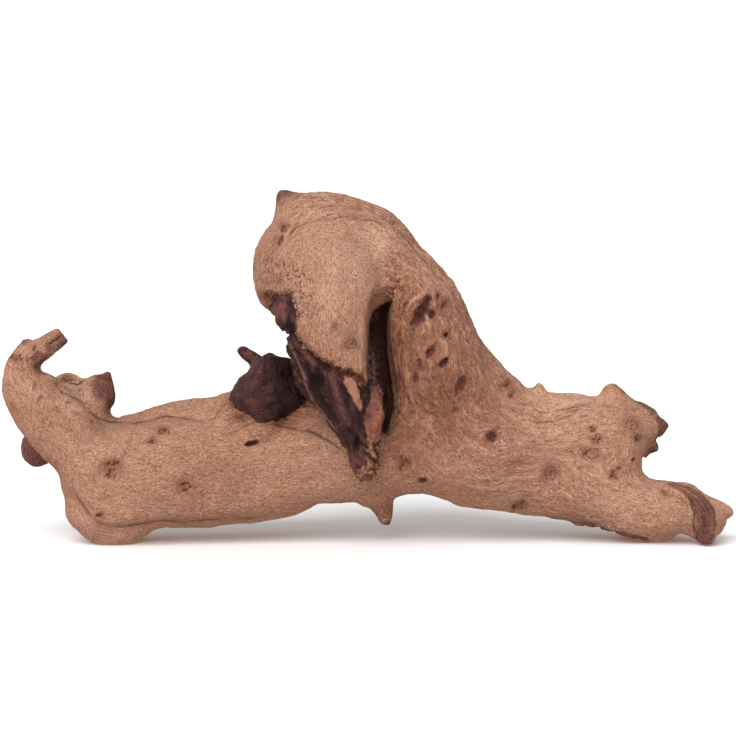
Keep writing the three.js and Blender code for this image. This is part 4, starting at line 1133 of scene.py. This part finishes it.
    fringe = n.times(n.step(heart_in, -2.6, -0.1), n.step(pores, 0.42, 0.52), crowded)
    # A near-black band just inside the torn edge: painted shade under the lip of the torn sapwood sheet
    lip = n.times(n.step(heart_in, 1.5, 0.4), is_heart, n.step(pores, 0.4, 0.55), 0.6)

    # What is laid bare on the beak: a tan sliver, a tongue of orange wood and crumbs; and the crevice
    tan = n.layers(
        paint.tan,
        (n.step(grit, 0.45, 0.65, 0, 0.5), paint.fibre),
        (n.step(heart_grain, 0.48, 0.62, 0, 0.7), paint.blotch),
        (n.times(n.step(sliver, 1.1, 0.1), n.step(pores, 0.38, 0.55), 0.85), paint.knot),
    )
    left = n.times(n.step(height, 54, 66), n.step(across, 4, 0))
    left_edge = n.times(left, n.step(pores, 0.4, 0.55, 0.35, 0.9))
    tongue = n.layers(
        paint.amber,
        (n.step(pores, 0.58, 0.4, 0, 0.4), paint.tan),
        (n.step(height, 60, 50, 0, 0.65), paint.tan),
        (n.step(heart_grain, 0.46, 0.6, 0, 0.55), paint.fibre),
        (n.step(grit, 0.52, 0.7, 0, 0.6), paint.fibre),
        (left_edge, paint.heart_worn_and_lit),
        (n.times(n.step(height, 66, 77), n.step(pores, 0.42, 0.58)), paint.heart_worn_and_lit),
    )
    crumb = n.layers(
        paint.crumb,
        (n.step(grit, 0.45, 0.65, 0, 0.5), paint.fibre),
        (n.step(chunks, 0.45, 0.53), paint.pore),
        (n.step(chunks, 0.56, 0.64), paint.hole),
        (n.step(height, 38, 32, 0, 0.85), paint.tip),
        (n.times(n.step(height, 60, 70), n.step(pores, 0.62, 0.44, 0.45, 1.0), 0.95), paint.pore),
    )
    # The inside of the crevice is painted near black: painted shade, with rotted wood in it
    inside = n.layers(
        paint.hole,
        (n.step(pores, 0.4, 0.6), paint.inside),
        (n.largest(heart_wear_rot_and_light, 0.0), paint.rotted),
    )

    base = n.layers(
        sapwood,
        (n.times(n.step(knot, 1.9, 0.5), halo), paint.knot),
        (n.times(n.step(knot, 1.2, 0.65), strength, is_pit), bottom),
        (n.times(n.step(gash, 2.6, 1.0), 0.4), paint.knot),
        (middle, paint.knot_dark),
        (n.largest(ring, hole), paint.pore),
        (crack_dirt_and_shade, paint.crack),
        (n.times(stain_in, 0.9), stained),
        (fringe, paint.pore),
        (is_heart, heart),
        (lip, paint.hole),
        (n.step(sliver, -0.3, 0.5), tan),
        (n.times(rim, n.step(specks, 0.3, 0.5, 0.5, 0.85)), paint.rim),
        (n.step(amber, -0.2, 0.6), tongue),
        (n.times(n.step(crumbs, -0.4, 0.5), 0.95), crumb),
        # The crevice's inside, painted dark: painted shade and rot
        (n.times(crevice, n.step(amber, 0.4, -0.4)), inside),
        # Painted shade in hollows, darker where little of the sky is seen
        (n.step(hollow_shade, 0.6, 1.0, 0, 0.45), paint.crack),
    )

    # Relief that is finer than the mesh
    relief = n.total(
        (streaks, -0.5), (fibres, -0.8), (grit, -0.7), (fleck, -0.25), (speck, -0.3), (crease, -0.9),
        (n.largest(middle, ring, hole), -0.5), (n.times(heart_grain, is_heart), 0.9),
    )
    bumps = n.add("ShaderNodeBump", {"Height": relief, "Strength": 1.0, "Distance": 0.0009})
    n.plug(n.shader.inputs["Normal"], bumps.outputs["Normal"])
    n.plug(n.shader.inputs["Base Color"], base)
    n.plug(n.shader.inputs["Roughness"], n.step(is_heart, 0.0, 1.0, 0.9, 0.7))
    n.plug(n.shader.inputs["Specular IOR Level"], 0.15)
    return n.material


def floor_material(base):
    n = Nodes("floor")
    n.plug(n.shader.inputs["Base Color"], base)
    n.plug(n.shader.inputs["Roughness"], 0.9)
    return n.material


def sky_light(settings):
    """Even light that is brightest at the horizon, softer from above and weak from below."""
    world = bpy.data.worlds.new("sky")
    world.use_nodes = True
    tree = world.node_tree
    way = tree.nodes.new("ShaderNodeTexCoord")
    split = tree.nodes.new("ShaderNodeSeparateXYZ")
    stops = tree.nodes.new("ShaderNodeValToRGB")
    tree.links.new(way.outputs["Generated"], split.inputs[0])
    height = tree.nodes.new("ShaderNodeMapRange")
    height.inputs["From Min"].default_value = -1
    tree.links.new(split.outputs["Z"], height.inputs["Value"])
    tree.links.new(height.outputs["Result"], stops.inputs["Fac"])
    below = [settings.bounce * part for part in settings.bounce_colour]
    level, above = [settings.horizon] * 3, [settings.sky] * 3
    ramp_stops = stops.color_ramp.elements
    ramp_stops.remove(ramp_stops[1])
    ramp_stops[0].color = (*below, 1)
    for at, light in ((0.44, below), (0.47, level), (0.54, level), (0.62, above), (1, above)):
        ramp_stops.new(at).color = (*light, 1)
    tree.links.new(stops.outputs["Color"], tree.nodes["Background"].inputs["Color"])
    return world


# ---- Settings, operators, panel


def colour_setting(name, description, default):
    return bpy.props.FloatVectorProperty(
        name=name, description=description, default=default, subtype="COLOR", size=3, min=0, max=1
    )


class WoodSettings(bpy.types.PropertyGroup):
    voxel: bpy.props.FloatProperty(
        name="Sculpting size", description="Side of the quads that the skin is sculpted on",
        default=0.0006, min=0.0004, max=0.01, subtype="DISTANCE", unit="LENGTH", precision=5,
    )
    triangles: bpy.props.IntProperty(
        name="Triangles", description="The most triangles that the finished skin has",
        default=196000, min=5000, max=200000,
    )
    facet_passes: bpy.props.IntProperty(
        name="Smoothing passes", description="Passes that take the solid's facets out",
        default=16, min=0, max=80,
    )
    grain_relief: bpy.props.FloatProperty(
        name="Grain relief", description="Height of the ridges that run along the grain",
        default=0.00016, min=0, max=0.002, subtype="DISTANCE", unit="LENGTH", precision=5,
    )
    sapwood: colour_setting("Sapwood", "Pale face of the head", (0.49, 0.275, 0.185))
    pale: colour_setting("Pale fibre", "Worn tops of the fibres", (0.68, 0.42, 0.29))
    # The shaded copy of the sapwood, used for painted shade, and the redder wood of the flank
    shade: colour_setting("Warm sapwood", "Sapwood of the flank", (0.16, 0.054, 0.028))
    blotch: colour_setting("Blotch", "Slightly darker patches", (0.36, 0.162, 0.098))
    fibre: colour_setting("Fibre", "Dark gaps between fibres", (0.22, 0.09, 0.053))
    fleck: colour_setting("Fleck", "Small brown flecks", (0.15, 0.06, 0.036))
    pore: colour_setting("Pore", "Rotted pores and gaps", (0.085, 0.03, 0.017))
    knot: colour_setting("Knot", "Stain in and round knots", (0.18, 0.066, 0.039))
    knot_dark: colour_setting("Dark knot", "Middles, rings and gashes of knots", (0.05, 0.017, 0.011))
    # Hole: near black, the painted shade at the bottom of the crevice and under the torn lip, and dark
    # spots among the crumbs
    hole: colour_setting("Hole", "Bottom of the crevice", (0.02, 0.008, 0.007))
    # Crack: dirt in cracks, and also the painted shade in hollows and in a band beside lips and cracks
    crack: colour_setting("Crack", "Dirt in cracks", (0.1, 0.034, 0.02))
    pink: colour_setting("Pink", "Redder patches of the sapwood", (0.53, 0.27, 0.19))
    ochre: colour_setting("Ochre", "Greyer patches of the head", (0.46, 0.3, 0.21))
    warm: colour_setting("Warm", "Orange-brown wood beside the heartwood", (0.36, 0.145, 0.07))
    stain: colour_setting("Stain", "Purple-brown stained wood", (0.165, 0.065, 0.056))
    stain_dark: colour_setting("Dark stain", "Darker streaks in it", (0.075, 0.026, 0.022))
    heart: colour_setting("Heartwood", "Dark wood of the beak and the knob", (0.043, 0.0145, 0.013))
    # Deep and worn heartwood: besides the wood's own dark streaks and rubbed places, these paint the
    # shade in the beak's grooves and the knob's shaded side, and the light on the ridges and the upper
    # knob's top
    heart_dark_and_shaded: colour_setting("Deep heartwood", "Its darkest streaks", (0.012, 0.0046, 0.0042))
    heart_worn_and_lit: colour_setting("Worn heartwood", "Where the dark wood is rubbed", (0.165, 0.063, 0.059))
    rotted: colour_setting("Rotted", "Grey lumps of rot within the crevice", (0.34, 0.19, 0.18))
    tan: colour_setting("Tan", "Bare tan wood on the beak", (0.39, 0.185, 0.12))
    rim: colour_setting("Rim", "Rubbed edge of the beak", (0.24, 0.115, 0.088))
    amber: colour_setting("Amber", "Orange wood within the crevice", (0.27, 0.085, 0.048))
    crumb: colour_setting("Crumbs", "Crumbling wood near the beak's tip", (0.45, 0.21, 0.125))
    tip: colour_setting("Tip", "Pinkish wood of the beak's tip", (0.28, 0.112, 0.08))
    # Inside: rotted wood in the crevice, darkened as painted shade
    inside: colour_setting("Inside", "Rotted wood in the crevice", (0.045, 0.017, 0.0145))


class StageSettings(bpy.types.PropertyGroup):
    floor_size: bpy.props.FloatProperty(
        name="Floor", description="Width of the floor",
        default=16, min=1, subtype="DISTANCE", unit="LENGTH",
    )
    floor_colour: colour_setting("Floor colour", "Pale floor and backdrop", (0.86, 0.86, 0.86))
    sun: bpy.props.FloatProperty(
        name="Key light", description="Broad soft light from above, front left", default=3.2, min=0
    )
    sun_width: bpy.props.FloatProperty(
        name="Key width", description="How broad the key light is, which sets how soft shadows are",
        default=math.radians(50), min=0, max=math.pi, subtype="ANGLE", unit="ROTATION",
    )
    horizon: bpy.props.FloatProperty(
        name="Horizon", description="Light from the horizon", default=1.3, min=0
    )
    sky: bpy.props.FloatProperty(name="Sky", description="Light from higher up", default=0.66, min=0)
    bounce: bpy.props.FloatProperty(name="Bounce", description="Light from below", default=0.95, min=0)
    bounce_colour: colour_setting("Bounce colour", "Tint of the light from below", (1, 0.9, 0.86))


class MOPANI_OT_wood(bpy.types.Operator):
    """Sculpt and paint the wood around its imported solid"""

    bl_idname = "mopani.wood"
    bl_label = "Wood"

    def execute(self, context):
        settings = context.scene.mopani_wood
        wood = bpy.data.objects.new("wood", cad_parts[NODE].data.copy())
        context.scene.collection.objects.link(wood)
        remesh(wood, 1.5 * settings.voxel)
        shape(wood.data, settings.facet_passes)
        remesh(wood, settings.voxel)
        sculpt(wood.data, settings.grain_relief)
        thin_out(wood, settings.triangles)
        wood.data.polygons.foreach_set("use_smooth", np.ones(len(wood.data.polygons), bool))
        skin = Skin(get_vectors(wood.data, "co"), get_vectors(wood.data, "normal"))
        write_attributes(wood.data, skin, hollow_share(wood.data))
        wood.data.materials.clear()
        wood.data.materials.append(wood_material(settings))
        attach(wood, "root")
        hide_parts(NODE)
        return {"FINISHED"}


class MOPANI_OT_stage(bpy.types.Operator):
    """Set up the floor, the lights and the camera"""

    bl_idname = "mopani.stage"
    bl_label = "Stage"

    def execute(self, context):
        settings = context.scene.mopani_stage
        half = settings.floor_size / 2
        mesh = bpy.data.meshes.new("floor")
        corners = [(-half, -half, 0), (half, -half, 0), (half, half, 0), (-half, half, 0)]
        mesh.from_pydata(corners, [], [(0, 1, 2, 3)])
        floor = bpy.data.objects.new("floor", mesh)
        mesh.materials.append(floor_material(settings.floor_colour))
        floor.visible_diffuse = False
        context.scene.collection.objects.link(floor)
        lamp = bpy.data.lights.new("key", "SUN")
        lamp.energy = settings.sun
        lamp.angle = settings.sun_width
        self.aim(context, bpy.data.objects.new("key", lamp), CAMERA_TARGET + KEY_LIGHT_WAY)
        context.scene.world = sky_light(settings)
        context.scene.view_settings.view_transform = "Standard"
        self.camera(context)
        return {"FINISHED"}

    def camera(self, context):
        camera = bpy.data.objects.new("camera", bpy.data.cameras.new("camera"))
        camera.data.lens, camera.data.sensor_width = CAMERA_LENS, CAMERA_SENSOR
        self.aim(context, camera, camera_place())
        context.scene.camera = camera

    def aim(self, context, thing, place):
        thing.location = place
        thing.rotation_mode = "QUATERNION"
        thing.rotation_quaternion = (CAMERA_TARGET - place).to_track_quat("-Z", "Y")
        context.scene.collection.objects.link(thing)


class MOPANI_PT_panel(bpy.types.Panel):
    bl_idname = "MOPANI_PT_panel"
    bl_label = "Driftwood"
    bl_space_type = "VIEW_3D"
    bl_region_type = "UI"
    bl_category = "Driftwood"

    def draw(self, context):
        scene = context.scene
        groups = ((scene.mopani_wood, "mopani.wood"), (scene.mopani_stage, "mopani.stage"))
        for group, operator in groups:
            self.layout.operator(operator)
            for name in group.__annotations__:
                self.layout.prop(group, name)


CLASSES = (WoodSettings, StageSettings, MOPANI_OT_wood, MOPANI_OT_stage, MOPANI_PT_panel)


def register():
    for item in CLASSES:
        bpy.utils.register_class(item)
    bpy.types.Scene.mopani_wood = bpy.props.PointerProperty(type=WoodSettings)
    bpy.types.Scene.mopani_stage = bpy.props.PointerProperty(type=StageSettings)


def unregister():
    del bpy.types.Scene.mopani_stage
    del bpy.types.Scene.mopani_wood
    for item in reversed(CLASSES):
        bpy.utils.unregister_class(item)


def main():
    register()
    bpy.ops.mopani.wood()
    bpy.ops.mopani.stage()


if __name__ == "__main__":
    main()
